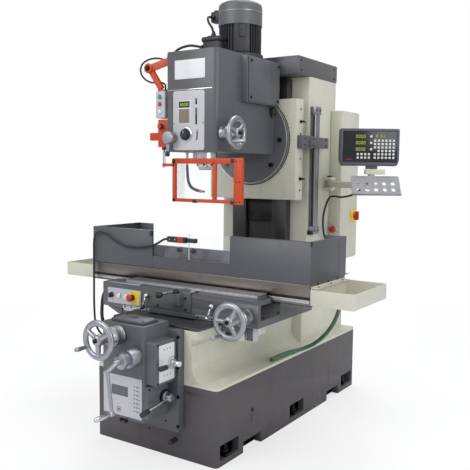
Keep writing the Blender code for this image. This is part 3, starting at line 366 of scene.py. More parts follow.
CREAM = (0.570, 0.560, 0.465)
GREY = (0.090, 0.092, 0.099)
FINISHES = {
    "cream": enamel("cream enamel", CREAM, 0.40),
    "grey": enamel("machine grey enamel", GREY, 0.38, wear=0.35),
    "skirt": enamel("base enamel", (0.071, 0.063, 0.067), 0.48, wear=0.3),
    "guard": enamel("guard sheet enamel", (0.080, 0.081, 0.090), 0.42, 0.0008, wear=0.5),
    "orange": enamel("orange enamel", (0.50, 0.046, 0.004), 0.48, 0.0012, wear=0.2),
    "motor": enamel("motor enamel", (0.105, 0.107, 0.113), 0.42, 0.0012, wear=0.3),
    "fins": enamel("motor body enamel", (0.036, 0.036, 0.040), 0.5, 0.0012, wear=0.3),
    "table": metal("ground table iron", (0.215, 0.198, 0.180), 0.36, "X", grime=0.25),
    "table_top": metal("scraped table top", (0.30, 0.29, 0.28), 0.34, "X", grime=0.25),
    "ways": metal("ground ways", (0.125, 0.122, 0.123), 0.40, "Z", grime=0.2),
    "iron": metal("dark oiled iron", (0.038, 0.037, 0.038), 0.42, "X", grime=0.3),
    "satin": metal("satin handwheel", (0.36, 0.37, 0.40), 0.40, grime=0.12),
    "chrome": metal("polished steel", (0.62, 0.62, 0.64), 0.20, grime=0.12),
    "strip": metal("bright rail strip", (0.50, 0.50, 0.51), 0.34, "X", grime=0.2),
    "upright": metal("bright upright rail", (0.33, 0.33, 0.35), 0.36, "Z", grime=0.15),
    "black": plastic("black moulding", (0.014, 0.014, 0.016)),
    "screw": metal("blackened screws", (0.022, 0.022, 0.024), 0.38, grime=0.1),
    "rubber": plastic("rubber jacket", (0.016, 0.016, 0.016), 0.62, 0.0001),
    "wiper": plastic("rubber way wiper", (0.020, 0.020, 0.021), 0.55, 0.0003),
    "red": plastic("red knob", (0.42, 0.018, 0.012), 0.30),
    "green": plastic("green button", (0.030, 0.24, 0.11), 0.34),
    "white": plastic("white key", (0.66, 0.66, 0.64), 0.40),
    "yellow": plastic("yellow plate", (0.74, 0.55, 0.02), 0.40),
    "box_grey": plastic("control box grey", (0.42, 0.42, 0.45), 0.45),
    "panel": printed("light panel", (0.455, 0.450, 0.480)),
    "plate": printed("white plate", (0.62, 0.62, 0.62)),
    "badge": printed("bare badge", (0.66, 0.655, 0.665)),
    "ink": printed("black ink", (0.02, 0.02, 0.022)),
    "ink_red": printed("red ink", (0.30, 0.01, 0.02)),
    "chart": printed("chart card", (0.235, 0.205, 0.150)),
    "window": printed("display window", (0.010, 0.012, 0.008), 0.12),
    "lcd": printed("grey card window", (0.105, 0.105, 0.130), 0.30),
    "bezel": plastic("read-out bezel", (0.068, 0.072, 0.088), 0.40),
    "screen": printed("read-out screen", (0.008, 0.008, 0.010), 0.16),
    "tray": metal("bead blasted tray", (0.26, 0.26, 0.28), 0.42, "X", grime=0.1),
    "digits": glowing("lit digits", (0.42, 0.50, 0.03), 1.1),
    "lamp": glowing("lit speed digits", (0.28, 0.60, 0.04), 1.2),
    "pane": clear_sheet("clear pane", (0.80, 0.84, 0.85), 0.03),
    "shield": clear_sheet("curved shield", (0.80, 0.84, 0.86), 0.16),
    "hose_green": clear_sheet("green drain hose", (0.060, 0.155, 0.085), 0.86, 0.25),
    "hose_blue": plastic("blue hose link", (0.008, 0.010, 0.070), 0.34),
    "nozzle": plastic("orange nozzle", (0.62, 0.13, 0.02), 0.36),
    "tube": plastic("white tube", (0.70, 0.71, 0.74), 0.36),
    "belt": plastic("belt rubber", (0.02, 0.02, 0.02), 0.6),
}


# ---------------------------------------------------------------- modelling
def only(*things):
    """Leaves just these objects selected, the last of them active."""
    bpy.ops.object.select_all(action="DESELECT")
    for thing in things:
        thing.select_set(True)
        bpy.context.view_layer.objects.active = thing
    return things[-1]


def added(name, data):
    """A new object of the scene."""
    thing = bpy.data.objects.new(name, data)
    bpy.context.scene.collection.objects.link(thing)
    return thing


def settle(thing, place=None):
    """Moves an object's place into its mesh."""
    if place is not None:
        thing.matrix_world = place @ thing.matrix_world
    only(thing)
    bpy.ops.object.transform_apply(location=True, rotation=True, scale=True)
    return thing


def modify(thing, kind, **settings):
    step = thing.modifiers.new(kind.lower(), kind)
    for key, value in settings.items():
        setattr(step, key, value)
    only(thing)
    bpy.ops.object.modifier_apply(modifier=step.name)
    return thing


def edit(thing, select="SELECT"):
    only(thing)
    bpy.ops.object.mode_set(mode="EDIT")
    bpy.ops.mesh.select_all(action=select)


def done(outward=False):
    if outward:
        bpy.ops.mesh.select_all(action="SELECT")
        bpy.ops.mesh.normals_make_consistent(inside=False)
    bpy.ops.object.mode_set(mode="OBJECT")
    return bpy.context.object


def softened(thing, soft, segments=2):
    if soft:
        modify(
            thing, "BEVEL", width=soft, segments=segments, limit_method="ANGLE", angle_limit=0.7
        )
    return thing


def brick(low, high, soft=0.0015, segments=2):
    """A block with rounded edges."""
    low, high = Vector(low), Vector(high)
    bpy.ops.object.select_all(action="DESELECT")
    bpy.ops.mesh.primitive_cube_add(size=1, location=(low + high) / 2, scale=high - low)
    return softened(settle(bpy.context.object), soft, segments)


def facing(centre, axis):
    """Places local +Z along axis; local X stays level where it can."""
    axis = Vector(axis).normalized()
    side = UP.cross(axis)
    side = RIGHT.copy() if side.length < 0.01 else side.normalized()
    turn = Matrix((side, axis.cross(side), axis)).transposed().to_4x4()
    return Matrix.Translation(centre) @ turn


def turned(centre, axis, profile, sides=32):
    """A turned shape: its profile is (distance along axis, radius), from the back to the front."""
    (along, radius), *rest = profile
    bpy.ops.object.select_all(action="DESELECT")
    bpy.ops.mesh.primitive_circle_add(
        vertices=sides, radius=radius, fill_type="NGON", location=(0, 0, along)
    )
    thing = settle(bpy.context.object)
    edit(thing)
    for next_along, next_radius in rest:
        step = (0, 0, next_along - along)
        bpy.ops.mesh.extrude_region_move(TRANSFORM_OT_translate={"value": step})
        ratio = next_radius / radius
        bpy.ops.transform.resize(value=(ratio, ratio, 1), center_override=(0, 0, next_along))
        along, radius = next_along, next_radius
    return settle(done(outward=True), facing(centre, axis))


def bar(start, end, radius, soft=0.0, sides=20, tip=None):
    """A round bar, with a small chamfer at both ends."""
    start, end = Vector(start), Vector(end)
    length = (end - start).length
    tip = radius if tip is None else tip
    soft = soft or radius * 0.15
    profile = [(0, radius - soft), (soft, radius), (length - soft, tip), (length, tip - soft)]
    return turned(start, end - start, profile, sides)


def joined(*things):
    """One object from several."""
    only(*reversed(things))
    if len(things) > 1:
        bpy.ops.object.join()
    return bpy.context.object


def stamped(thing, places):
    """Copies of a finished shape at these places, as one object; the shape itself goes."""
    copies = []
    for place in places:
        copies.append(settle(added(thing.name, thing.data.copy()), place))
    bpy.data.objects.remove(thing, do_unlink=True)
    return joined(*copies)


def carved(thing, *tools):
    for tool in tools:
        modify(thing, "BOOLEAN", operation="DIFFERENCE", object=tool, solver="EXACT")
        bpy.data.objects.remove(tool, do_unlink=True)
    return thing


def outline(points, thickness, place, soft=0.0):
    """A plate of this outline; place puts its XY plane in the frame."""
    curve = bpy.data.curves.new("outline", "CURVE")
    curve.dimensions, curve.fill_mode, curve.extrude = "2D", "BOTH", thickness / 2
    spline = curve.splines.new("POLY")
    spline.points.add(len(points) - 1)
    for point, (x, y) in zip(spline.points, points):
        point.co = (x, y, 0, 1)
    spline.use_cyclic_u = True
    thing = added("outline", curve)
    only(thing)
    bpy.ops.object.convert(target="MESH")
    thing = bpy.context.object
    edit(thing)
    bpy.ops.mesh.remove_doubles(threshold=0.00002)
    done(outward=True)
    return softened(settle(thing, place), soft)


def arc(centre, radius, first, last, steps=8):
    """Points of an arc, with its angles in degrees."""
    points = []
    for number in range(steps + 1):
        angle = math.radians(first + (last - first) * number / steps)
        points.append((centre[0] + radius * math.cos(angle), centre[1] + radius * math.sin(angle)))
    return points


def ring_points(outer, inner, steps=36):
    """A ring's outline, cut through at one place."""
    return [*arc((0, 0), outer, 0, 359.5, steps), *reversed(arc((0, 0), inner, 0, 359.5, steps))]


def rounded(low, high, radius, steps):
    """A rectangle's outline with round corners; low and high are the middles of two of them."""
    (left, bottom), (right, top) = low, high
    return [
        *arc((right, top), radius, 90, 0, steps),
        *arc((right, bottom), radius, 0, -90, steps),
        *arc((left, bottom), radius, 270, 180, steps),
        *arc((left, top), radius, 180, 90, steps),
    ]


def sphere_profile(radius, steps=8):
    """Distances and radii of a ball that starts at 0."""
    profile = []
    for number in range(steps + 1):
        turn = math.pi * (0.04 + 0.92 * number / steps)
        profile.append((radius - radius * math.cos(turn), radius * math.sin(turn)))
    return profile


def flat_ring(radius, thick, flat, around, section):
    """A round ring at the origin, facing +Z and flattened along its axis."""
    bpy.ops.object.select_all(action="DESELECT")
    bpy.ops.mesh.primitive_torus_add(
        major_radius=radius, minor_radius=thick, major_segments=around, minor_segments=section
    )
    edit(bpy.context.object)
    bpy.ops.transform.resize(value=(1, 1, flat))
    return done()


def spin(number, count):
    """A turn about +Z by this many of the equal steps in a circle."""
    return Matrix.Rotation(math.tau * number / count, 4, "Z")


def smooth_route(route, spacing):
    """Points about spacing apart on one smooth curve through the route's own points."""
    route = [Vector(p) for p in route]
    ends = [2 * route[0] - route[1], *route, 2 * route[-1] - route[-2]]
    made = []
    for a, b, c, d in zip(ends, ends[1:], ends[2:], ends[3:]):
        count = max(1, round((c - b).length / spacing))
        for number in range(count):
            t = number / count
            cubic = 3 * b - 3 * c + d - a
            made.append(0.5 * (2 * b + (c - a) * t + (2 * a - 5 * b + 4 * c - d) * t**2 + cubic * t**3))
    return [*made, route[-1]]


def piping(route, radius, spacing=0.008, name="pipe"):
    """A round pipe, wire or cord through the route's points."""
    points = smooth_route(route, spacing)
    curve = bpy.data.curves.new(name, "CURVE")
    curve.dimensions, curve.bevel_depth, curve.bevel_resolution = "3D", radius, 3
    curve.use_fill_caps = True
    spline = curve.splines.new("POLY")
    spline.points.add(len(points) - 1)
    for point, place in zip(spline.points, points):
        point.co = (*place, 1)
    thing = added(name, curve)
    only(thing)
    bpy.ops.object.convert(target="MESH")
    thing = bpy.context.object
    edit(thing)
    bpy.ops.mesh.remove_doubles(threshold=0.00001)
    return done(outward=True), points


def paint(data, finish):
    data.materials.clear()
    data.materials.append(FINISHES[finish])


def dress(thing, name, finish, smooth):
    """Names a finished piece and gives it its finish; edges under smooth degrees are shaded round."""
    only(thing)
    bpy.ops.object.shade_smooth_by_angle(angle=math.radians(smooth))
    thing.name = thing.data.name = name
    paint(thing.data, finish)


def fit(thing, name, body, finish, smooth=35):
    """Dresses a piece and sets it on the body that it moves with."""
    dress(thing, name, finish, smooth)
    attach(thing, body)
    return thing


def recast(node, name, body, finish, soft=0.003, segments=2):
    """A CAD solid with its flats merged and its edges rounded, in place of the node itself."""
    thing = added(name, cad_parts[node].data.copy())
    edit(thing)
    bpy.ops.mesh.remove_doubles(threshold=0.00001)
    bpy.ops.mesh.dissolve_limited(angle_limit=math.radians(1))
    done()
    softened(thing, soft, segments)
    fit(thing, name, body, finish)
    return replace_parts(thing, node)


def coat(finish, *nodes):
    """A finish on CAD nodes that stay as they are."""
    for node in nodes:
        paint(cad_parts[node].data, finish)


SCREW_SIDES = 14


def cap_screw(radius=0.007, height=0.006):
    """A socket head screw at the origin, facing +Z."""
    profile = [
        (0, radius),
        (height * 0.8, radius),
        (height, radius * 0.85),
        (height, radius * 0.55),
        (height * 0.35, radius * 0.5),
    ]
    return turned(ORIGIN, UP, profile, SCREW_SIDES)


def screws(name, body, spots, axis, radius=0.007, height=0.006, finish="screw"):
    places = [facing(spot, axis) for spot in spots]
    return fit(stamped(cap_screw(radius, height), places), name, body, finish)


# ---------------------------------------------------------------- base, bed and column
def base():
    recast("base_skirt", "base_skirting", "base", "skirt", 0.003)
    low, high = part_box("base_skirt")
    lip = brick((0.205, low.y - 0.0012, 0.334), (0.352, low.y + 0.002, 0.344), 0.0008)
    fit(lip, "skirt_lip", "base", "skirt")
    side = high.x
    plug = turned((side, -0.477, 0.199), RIGHT, [(-0.002, 0.011), (0.003, 0.011), (0.0035, 0.007)], 6)
    fit(plug, "drain_plug", "base", "screw")
    drop = [*arc((0, 0), 0.015, 200, 340, 10), (0.002, 0.040), (-0.002, 0.040)]
    mark = outline(drop, 0.0008, facing((side + 0.0002, -0.484, 0.145), RIGHT))
    fit(mark, "oil_drop_mark", "base", "fins")
    stub = bar((0.138, low.y + 0.002, 0.089), (0.138, low.y - 0.046, 0.089), 0.0125)
    fit(stub, "drain_stub", "base", "black")
    # Painted shade: thin black plates on the floor inside the base keep the floor seen through its openings
    # dark.
    shade_plates = []
    for left, right in ((-0.3435, -0.0605), (0.0605, 0.3435)):
        shade_plates.append(brick((left, -0.7485, 0.0030), (right, 0.7485, 0.0050), 0.0005, 1))
    fit(joined(*shade_plates), "base_shade_plates", "base", "black")
    feet = []
    for front, back in ((-0.763, -0.599), (-0.080, 0.085), (0.596, 0.749)):
        for x in (-0.356, 0.356):
            y = (front + back) / 2
            pad = brick((x - 0.026, y - 0.030, 0.0305), (x + 0.024, y + 0.030, 0.044), 0.002)
            nut = turned((x, y, 0.043), UP, [(0, 0.017), (0.016, 0.017), (0.018, 0.014)], 6)
            bolt = bar((x, y, 0.055), (x, y, 0.086), 0.010)
            feet.append(joined(pad, nut, bolt))
    fit(joined(*feet), "levelling_bolts", "base", "screw")


def bed():
    recast("bed", "bed_casting", "base", "cream", 0.004, 3)
    recast("bed_ways", "bed_way_plates", "base", "ways", 0.002)
    front, rear = -0.787, 0.20
    side_x, foot_z, shelf_z = 0.2345, 0.3876, 0.6005
    coves = []
    for side in (-1, 1):
        outward = FRONT if side > 0 else BACK
        hollow = [(0, 0), *reversed(arc((0.075, 0.075), 0.075, 180, 270, 10))]
        foot = facing((side * side_x, (rear + front) / 2, foot_z), outward)
        coves.append(outline(hollow, rear - front, foot))
        under = [(0, 0), (0.034, 0), *arc((0.034, -0.030), 0.030, 90, 180, 6)]
        shelf = facing((side * side_x, (rear + front) / 2, shelf_z), outward)
        coves.append(outline(under, rear - front - 0.002, shelf))
    fit(joined(*coves), "bed_coves", "base", "cream", 40)
    wipers = []
    for start, end, z in ((-0.788, -0.700, 0.65535), (-0.735, -0.652, 0.65570)):
        wipers.append(brick((-0.268, start, z - 0.00015), (0.268, end, z + 0.00015), 0))
    fit(joined(*wipers), "way_covers", "base", "wiper")
    coat("chrome", "cross_screw", "lift_screw")


def column():
    recast("column", "column_casting", "base", "cream", 0.004, 3)
    recast("column_cap", "column_top_cover", "base", "grey", 0.004)
    recast("column_ways", "column_way_rails", "base", "ways", 0.0015)
    low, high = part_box("screw_cover")
    sheets = []
    for number in range(5):
        bottom = low.z + 0.002 + number * 0.089
        sheets.append(
            brick(
                (low.x, low.y - 0.0008 * number, bottom),
                (high.x, high.y - 0.0008 * number, bottom + 0.0925),
                0.0006,
                1,
            )
        )
    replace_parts(fit(joined(*sheets), "telescopic_cover", "base", "wiper"), "screw_cover")
    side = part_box("column_cap")[1].x
    spots = [(side, y, z) for y in (0.13, 0.56) for z in (1.965, 2.022)]
    screws("cap_screws_right", "base", spots, RIGHT, 0.005, 0.003)
    screws("cap_screws_left", "base", [(-x, y, z) for x, y, z in spots], LEFT, 0.005, 0.003)


def scale():
    low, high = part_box("scale_bar")
    recast("scale_bar", "scale_housing", "base", "upright", 0.002)
    # Painted shade: dark strips laid on the housing's side stand for the shade inside its two grooves.
    groove_shade_strips = []
    for y in (0.274, 0.306):
        edge = (high.x + 0.0004, y + 0.003, high.z - 0.03)
        groove_shade_strips.append(brick((high.x - 0.001, y, low.z + 0.03), edge, 0.0004, 1))
    fit(joined(*groove_shade_strips), "scale_groove_shade", "base", "iron")
    ends = []
    for z in (low.z - 0.030, high.z - 0.014):
        ends.append(brick((low.x - 0.0003, 0.254, z), (high.x + 0.004, 0.326, z + 0.046), 0.003))
    fit(joined(*ends), "scale_end_blocks", "base", "upright")
    spots = [(high.x + 0.004, y, z) for y in (0.266, 0.314) for z in (low.z - 0.008, high.z + 0.010)]
    screws("scale_screws", "base", spots, RIGHT, 0.005, 0.003)
    lip = brick((high.x - 0.012, 0.249, low.z + 0.02), (high.x - 0.004, 0.263, high.z - 0.02), 0.001)
    fit(lip, "scale_seal", "base", "rubber")
    plate = brick((0.3003, 0.246, 1.028), (0.3250, 0.345, 1.052), 0.002)
    fit(plate, "scale_foot", "base", "black")
    recast("scale_reader", "reader_block", "carriage", "motor", 0.002)
    spots = [(0.352, y, z) for y in (0.205, 0.365) for z in (1.547, 1.584)]
    screws("reader_screws", "carriage", spots, RIGHT, 0.005, 0.003)
    spots = [(0.338, 0.125, z) for z in (1.547, 1.584)]
    screws("reader_plate_screws", "carriage", spots, RIGHT, 0.005, 0.003)


def oil_lines():
    """Lubricating unions on the carriage's side and the small pipes that leave them."""
    unions, pipes = [], []
    for z in (1.680, 1.356):
        spot = Vector((0.2982, 0.141, z))
        unions.append(turned(spot, RIGHT, [(0, 0.010), (0.006, 0.010), (0.007, 0.006), (0.020, 0.006)], 6))
        unions.append(bar(spot + Vector((0.016, -0.006, 0)), spot + Vector((0.016, 0.024, 0)), 0.005))
        route = [
            spot + Vector((0.016, 0.020, 0)),
            spot + Vector((0.017, 0.034, -0.004)),
            spot + Vector((0.014, 0.044, -0.022)),
            spot + Vector((0.006, 0.046, -0.060)),
            spot + Vector((0.0035, 0.044, -0.100)),
        ]
        pipes.append(piping(route, 0.0024)[0])
    fit(joined(*unions), "oil_unions", "carriage", "screw")
    fit(joined(*pipes), "oil_pipes", "carriage", "upright")


# ---------------------------------------------------------------- cabinet
def cabinet():
    recast("cabinet", "cabinet_shell", "base", "cream", 0.002)
    recast("cabinet_door", "cabinet_door_panel", "cabinet_door", "cream", 0.003)
    relays()
    cabinet_door()
    main_switch()
    front = 0.5318
    spot = Vector((0.340, front, 1.045))
    collar = turned(spot, FRONT, [(0, 0.019), (0.008, 0.019), (0.010, 0.016)])
    fit(collar, "stop_collar", "base", "box_grey")
    cap = turned(
        spot, FRONT, [(0.008, 0.012), (0.020, 0.012), (0.021, 0.021), (0.030, 0.021), (0.035, 0.014)]
    )
    fit(cap, "cabinet_stop", "base", "red")
    nut = [(0, 0.013), (0.010, 0.013), (0.011, 0.010), (0.022, 0.008)]
    fit(turned((0.340, front + 0.0001, 0.955), FRONT, nut, 12), "cabinet_gland", "base", "black")


def relays():
    """Three rows of switching relays on their rails, seen when the door is open."""
    cases, faces, rails = [], [], []
    for row, count in ((1.580, 6), (1.380, 5), (1.150, 4)):
        rails.append(brick((-0.335, 0.6245, row + 0.025), (0.335, 0.6320, row + 0.060), 0.0008))
        for number in range(count):
            left = -0.300 + number * 0.095
            cases.append(
                brick((left - 0.001, 0.6260, row - 0.001), (left + 0.071, 0.6820, row + 0.086), 0.002)
            )
            faces.append(
                brick((left + 0.012, 0.6815, row + 0.022), (left + 0.058, 0.6835, row + 0.064), 0.001)
            )
    fit(joined(*rails), "relay_rails", "base", "strip")
    fit(joined(*cases), "relay_cases", "base", "black")
    fit(joined(*faces), "relay_faces", "base", "box_grey")


def cabinet_door():
    low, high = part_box("cabinet_door")
    louvres = []
    for bank in (-0.17, 0.17):
        for row in range(9):
            z = 1.52 + row * 0.018
            start = (bank - 0.07, high.y - 0.015, z)
            louvres.append(brick(start, (bank + 0.07, high.y - 0.0105, z + 0.010), 0.002))
    fit(joined(*louvres), "door_louvres", "cabinet_door", "cream")
    hinges = []
    for z in (1.02, 1.61):
        hinges.append(bar((low.x + 0.002, 0.783, z - 0.03), (low.x + 0.002, 0.783, z + 0.03), 0.006))
    fit(joined(*hinges), "door_hinges", "base", "screw")
    inset = 0.03
    panel = brick(
        (low.x + inset, 0.7847, low.z + inset),
        (high.x - 0.09, 0.7867, high.z - 0.32),
        0.001,
    )
    fit(panel, "door_stiffener", "cabinet_door", "cream")
    key = brick((0.338, 0.798, 1.288), (0.342, 0.8005, 1.312), 0.0005)
    fit(key, "latch_slot", "cabinet_door", "screw")


def main_switch():
    x, y, z = 0.380, 0.717, 1.122
    plate = brick((x, y - 0.038, z - 0.039), (x + 0.005, y + 0.038, z + 0.039), 0.002)
    fit(plate, "switch_plate", "base", "yellow")
    collar = turned((x + 0.0045, y, z), RIGHT, [(0, 0.034), (0.007, 0.034), (0.009, 0.031)])
    hub = turned((x + 0.012, y, z), RIGHT, [(0, 0.026), (0.012, 0.024), (0.014, 0.021)])
    grip = brick((x + 0.020, y - 0.0085, z - 0.028), (x + 0.042, y + 0.0085, z + 0.028), 0.005, 3)
    fit(collar, "switch_collar", "main_switch", "yellow")
    knob = fit(joined(hub, grip), "switch_knob", "main_switch", "red")
    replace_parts(knob, "main_switch")


# ---------------------------------------------------------------- wheels and levers
def hand_grip(start, length, radius):
    profile = [
        (-0.004, radius * 0.75),
        (0.006, radius * 0.75),
        (0.008, radius * 0.55),
        (0.012, radius * 0.62),
        (length * 0.35, radius * 0.85),
        (length * 0.75, radius * 1.0),
        (length * 0.93, radius * 0.95),
        (length * 0.985, radius * 0.75),
        (length, radius * 0.45),
    ]
    return turned(start, UP, profile, 24)


def handwheel(name, body, centre, axis, radius, reach, grip, angle, dial):
    """A spoked wheel with its graduated dial, worked out at the origin and then set on its shaft."""
    place = facing(centre, axis)
    rim_middle = radius - 0.0145
    parts = [flat_ring(rim_middle, 0.0150, 0.72, 72, 16)]
    for number in range(3):
        turn = math.tau * (number + 0.5) / 3 + angle
        out = Vector((math.cos(turn), math.sin(turn), 0))
        parts.append(bar(out * 0.014, out * (radius - 0.014), 0.0135, 0.001, 20, 0.0105))
    back = -reach
    hub = [(-0.016, 0.0255), (-0.010, 0.027), (0.010, 0.025), (0.016, 0.021), (0.018, 0.015)]
    shank = [(back * 0.45 - 0.001, 0.0205), (-0.012, 0.0205)]
    drum = [
        (back + 0.0004, dial * 0.86),
        (back * 0.92, dial * 0.99),
        (back * 0.90, dial * 0.99),
        (back * 0.88, dial * 0.95),
        (back * 0.66, dial * 0.95),
        (back * 0.64, dial * 0.98),
        (back * 0.58, dial * 0.98),
        (back * 0.56, dial * 0.90),
        (back * 0.45, dial * 0.76),
    ]
    parts += [turned(ORIGIN, UP, hub), turned(ORIGIN, UP, shank), turned(ORIGIN, UP, drum, 48)]
    wheel = settle(joined(*parts), place)
    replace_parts(fit(wheel, name + "_casting", body, "satin", 40), name)
    out = Vector((math.cos(angle), math.sin(angle), 0)) * rim_middle
    fit(settle(hand_grip(out, grip, 0.011), place), name + "_grip", body, "satin", 50)
    nut = turned((0, 0, 0.0165), UP, [(0, 0.011), (0.007, 0.011), (0.009, 0.008), (0.009, 0.005)], 6)
    fit(settle(nut, place), name + "_nut", body, "screw")
    ticks = []
    for number in range(40):
        long = 0.30 if number % 5 == 0 else 0.18
        tick = brick(
            (dial * 0.950, -0.0004, back * 0.86),
            (dial * 0.9535, 0.0004, back * (0.86 - long * 0.4)),
            0,
        )
        ticks.append(settle(tick, spin(number, 40)))
    fit(settle(joined(*ticks), place), name + "_dial_marks", body, "ink")


def wheels():
    handwheel(
        "cross_handwheel", "cross_wheel", (-0.015, -1.154, 0.635), FRONT, 0.0925, 0.140, 0.074,
        math.radians(-150), 0.047,
    )
    handwheel(
        "table_handwheel", "table_wheel", (0.439, -0.779, 0.710), FRONT, 0.090, 0.155, 0.085,
        math.radians(-120), 0.040,
    )
    handwheel(
        "quill_handwheel", "quill_wheel", (0.250, -0.444, 1.588), RIGHT, 0.085, 0.092, 0.088,
        math.radians(218), 0.036,
    )


def crank():
    x, z = 0.088, 0.548
    face = Vector((x, GEARBOX_FRONT, z))
    profile = [
        (0.0005, 0.038),
        (0.004, 0.0425),
        (0.060, 0.0425),
        (0.064, 0.040),
        (0.070, 0.040),
        (0.071, 0.0295),
        (0.088, 0.0295),
        (0.090, 0.036),
        (0.108, 0.0365),
        (0.111, 0.030),
        (0.112, 0.0128),
        (0.140, 0.0128),
        (0.144, 0.011),
    ]
    hub = turned(face, FRONT, profile, 48)
    neck = Vector((x, -1.145, z))
    elbow = Vector((x - 0.004, -1.200, z - 0.030))
    knuckle = Vector((x + 0.022, -1.200, z - 0.211))
    bend = bar(neck, elbow, 0.0128, 0.002, 24, 0.0100)
    arm = bar(elbow, knuckle, 0.0090, 0.002, 24, 0.0082)
    bosses = []
    for middle, radius in ((elbow, 0.0112), (neck, 0.0128)):
        ball = turned(ORIGIN, UP, sphere_profile(radius), 24)
        bosses.append(settle(ball, Matrix.Translation(middle - UP * radius)))
    eye = [(-0.009, 0.010), (-0.007, 0.0125), (0.007, 0.0125), (0.009, 0.010)]
    bosses.append(turned(knuckle, FRONT, eye))
    piece = fit(joined(hub, bend, arm, *bosses), "lift_crank_casting", "lift_crank", "satin", 40)
    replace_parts(piece, "lift_crank")
    grip = settle(hand_grip((0, 0, 0), 0.100, 0.0115), facing(knuckle + Vector((0, -0.004, 0)), FRONT))
    fit(grip, "lift_crank_grip", "lift_crank", "chrome", 50)
    ticks = []
    for number in range(48):
        spot = facing(face, FRONT) @ spin(number, 48)
        deep = 0.014 if number % 4 == 0 else 0.009
        ticks.append(settle(brick((0.0422, -0.0004, 0.046), (0.0427, 0.0004, 0.046 + deep), 0), spot))
    fit(joined(*ticks), "lift_dial_marks", "lift_crank", "ink")


def side_lever(name, body, face, reach, hub, finish_hub):
    """A selector lever: stepped hub, slim arm and black grip."""
    reach = Vector(reach)
    along = reach.normalized()
    top = face + Vector((0.034, 0, 0))
    profile = [
        (0.0005, hub * 0.98),
        (0.014, hub * 0.98),
        (0.016, hub * 0.80),
        (0.022, hub * 0.74),
        (0.044, hub * 0.76),
        (0.049, hub * 0.66),
        (0.0495, hub * 0.30),
    ]
    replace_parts(fit(turned(face, RIGHT, profile, 36), name + "_hub", body, finish_hub), name)
    tip = top + reach
    arm = bar(top - along * 0.004, tip - along * 0.045, 0.0062)
    fit(arm, name + "_arm", body, "chrome")
    profile = [(0, 0.0085), (0.004, 0.0115), (0.020, 0.0118), (0.044, 0.0125), (0.052, 0.011), (0.055, 0.007)]
    grip = turned(tip - along * 0.055, along, profile, 24)
    fit(grip, name + "_knob", body, "black", 50)


# ---------------------------------------------------------------- gearbox
def gearbox():
    recast("gearbox_case", "gearbox_casting", "base", "grey", 0.004, 3)
    recast("gearbox_lid", "gearbox_top_cover", "base", "grey", 0.002)
    spots = [(x, y, 0.699) for x in (-0.088, 0.088) for y in (-0.970, -0.880)]
    screws("lid_screws", "base", spots, UP, 0.0045, 0.003)
    vent = turned((0, -0.925, 0.7065), UP, [(0, 0.0125), (0.004, 0.0125), (0.006, 0.009)], 6)
    fit(vent, "breather", "base", "grey")
    feed_chart()
    feed_box()
    spots = [(side * 0.190, FLANGE_FRONT, z) for side in (-1, 1) for z in (0.180, 0.325, 0.470, 0.615)]
    screws("flange_screws", "base", spots, FRONT, 0.0085, 0.006)
    side_lever("feed_lever", "feed_lever", FEED_SHAFT, (0, -0.130, 0.004), 0.020, "chrome")
    side_lever("range_lever", "range_lever", RANGE_SHAFT, (0, -0.205, -0.028), 0.026, "satin")
    ring = turned(RANGE_SHAFT, RIGHT, [(0, 0.034), (0.006, 0.034), (0.008, 0.031)], 36)
    fit(ring, "range_hub_ring", "base", "screw")
    front = turned((0.02, GEARBOX_FRONT, 0.228), FRONT, [(-0.004, 0.011), (0.006, 0.011), (0.008, 0.008)], 6)
    under = turned(
        (-0.025, GEARBOX_FRONT + 0.02, 0.236), DOWN, [(0, 0.014), (0.020, 0.014), (0.022, 0.010)], 6
    )
    fit(joined(front, under), "gearbox_plugs", "base", "screw")


def feed_chart():
    front = GEARBOX_FRONT
    panel = brick((-0.118, front - 0.003, 0.250), (0.120, front + 0.001, 0.442), 0.0015)
    fit(panel, "feed_chart_panel", "base", "panel")
    window = brick((-0.066, front - 0.0036, 0.345), (0.037, front - 0.002, 0.393), 0.0004, 1)
    fit(window, "feed_chart_window", "base", "lcd")
    marks = []
    for row in range(4):
        z = 0.352 + row * 0.0105
        marks.append(brick((-0.062, front - 0.0040, z), (0.033, front - 0.0034, z + 0.0008), 0))
    for row in range(7):
        z = 0.284 + row * 0.0195
        for x, wide in ((0.072, 0.007), (0.086, 0.012), (0.102, 0.006)):
            marks.append(brick((x, front - 0.0034, z), (x + wide, front - 0.0029, z + 0.004), 0))
    fit(joined(*marks), "feed_chart_marks", "base", "ink")
    dial = facing((-0.020, front - 0.0033, 0.278), FRONT)
    circle = outline(ring_points(0.013, 0.0112), 0.0006, dial)
    dot = outline(arc((0, 0), 0.005, 0, 350, 12), 0.0006, dial)
    fit(joined(circle, dot), "feed_chart_dial", "base", "ink")


def feed_box():
    x, y, z = FEED_SHAFT
    plate = brick((x, -0.978, 0.428), (x + 0.0022, -0.868, 0.602), 0.0008)
    fit(plate, "feed_plate", "base", "plate")
    marks = []
    for row in (0.452, 0.575):
        for start in (-0.945, -0.923, -0.901):
            marks.append(brick((x + 0.0020, start, row), (x + 0.0027, start + 0.0035, row + 0.010), 0))
    marks.append(outline(ring_points(0.030, 0.0285), 0.0007, facing((x + 0.0024, y, z), RIGHT)))
    fit(joined(*marks), "feed_plate_marks", "base", "ink")
    corners = [(x, a, b) for a in (-0.986, -0.864) for b in (0.424, 0.606)]
    screws("feed_box_screws", "base", corners, RIGHT, 0.0048, 0.003)
    corners = [(RANGE_SHAFT.x, a, b) for a in (-0.998, -0.880) for b in (0.216, 0.397)]
    screws("range_box_screws", "base", corners, RIGHT, 0.0048, 0.003)


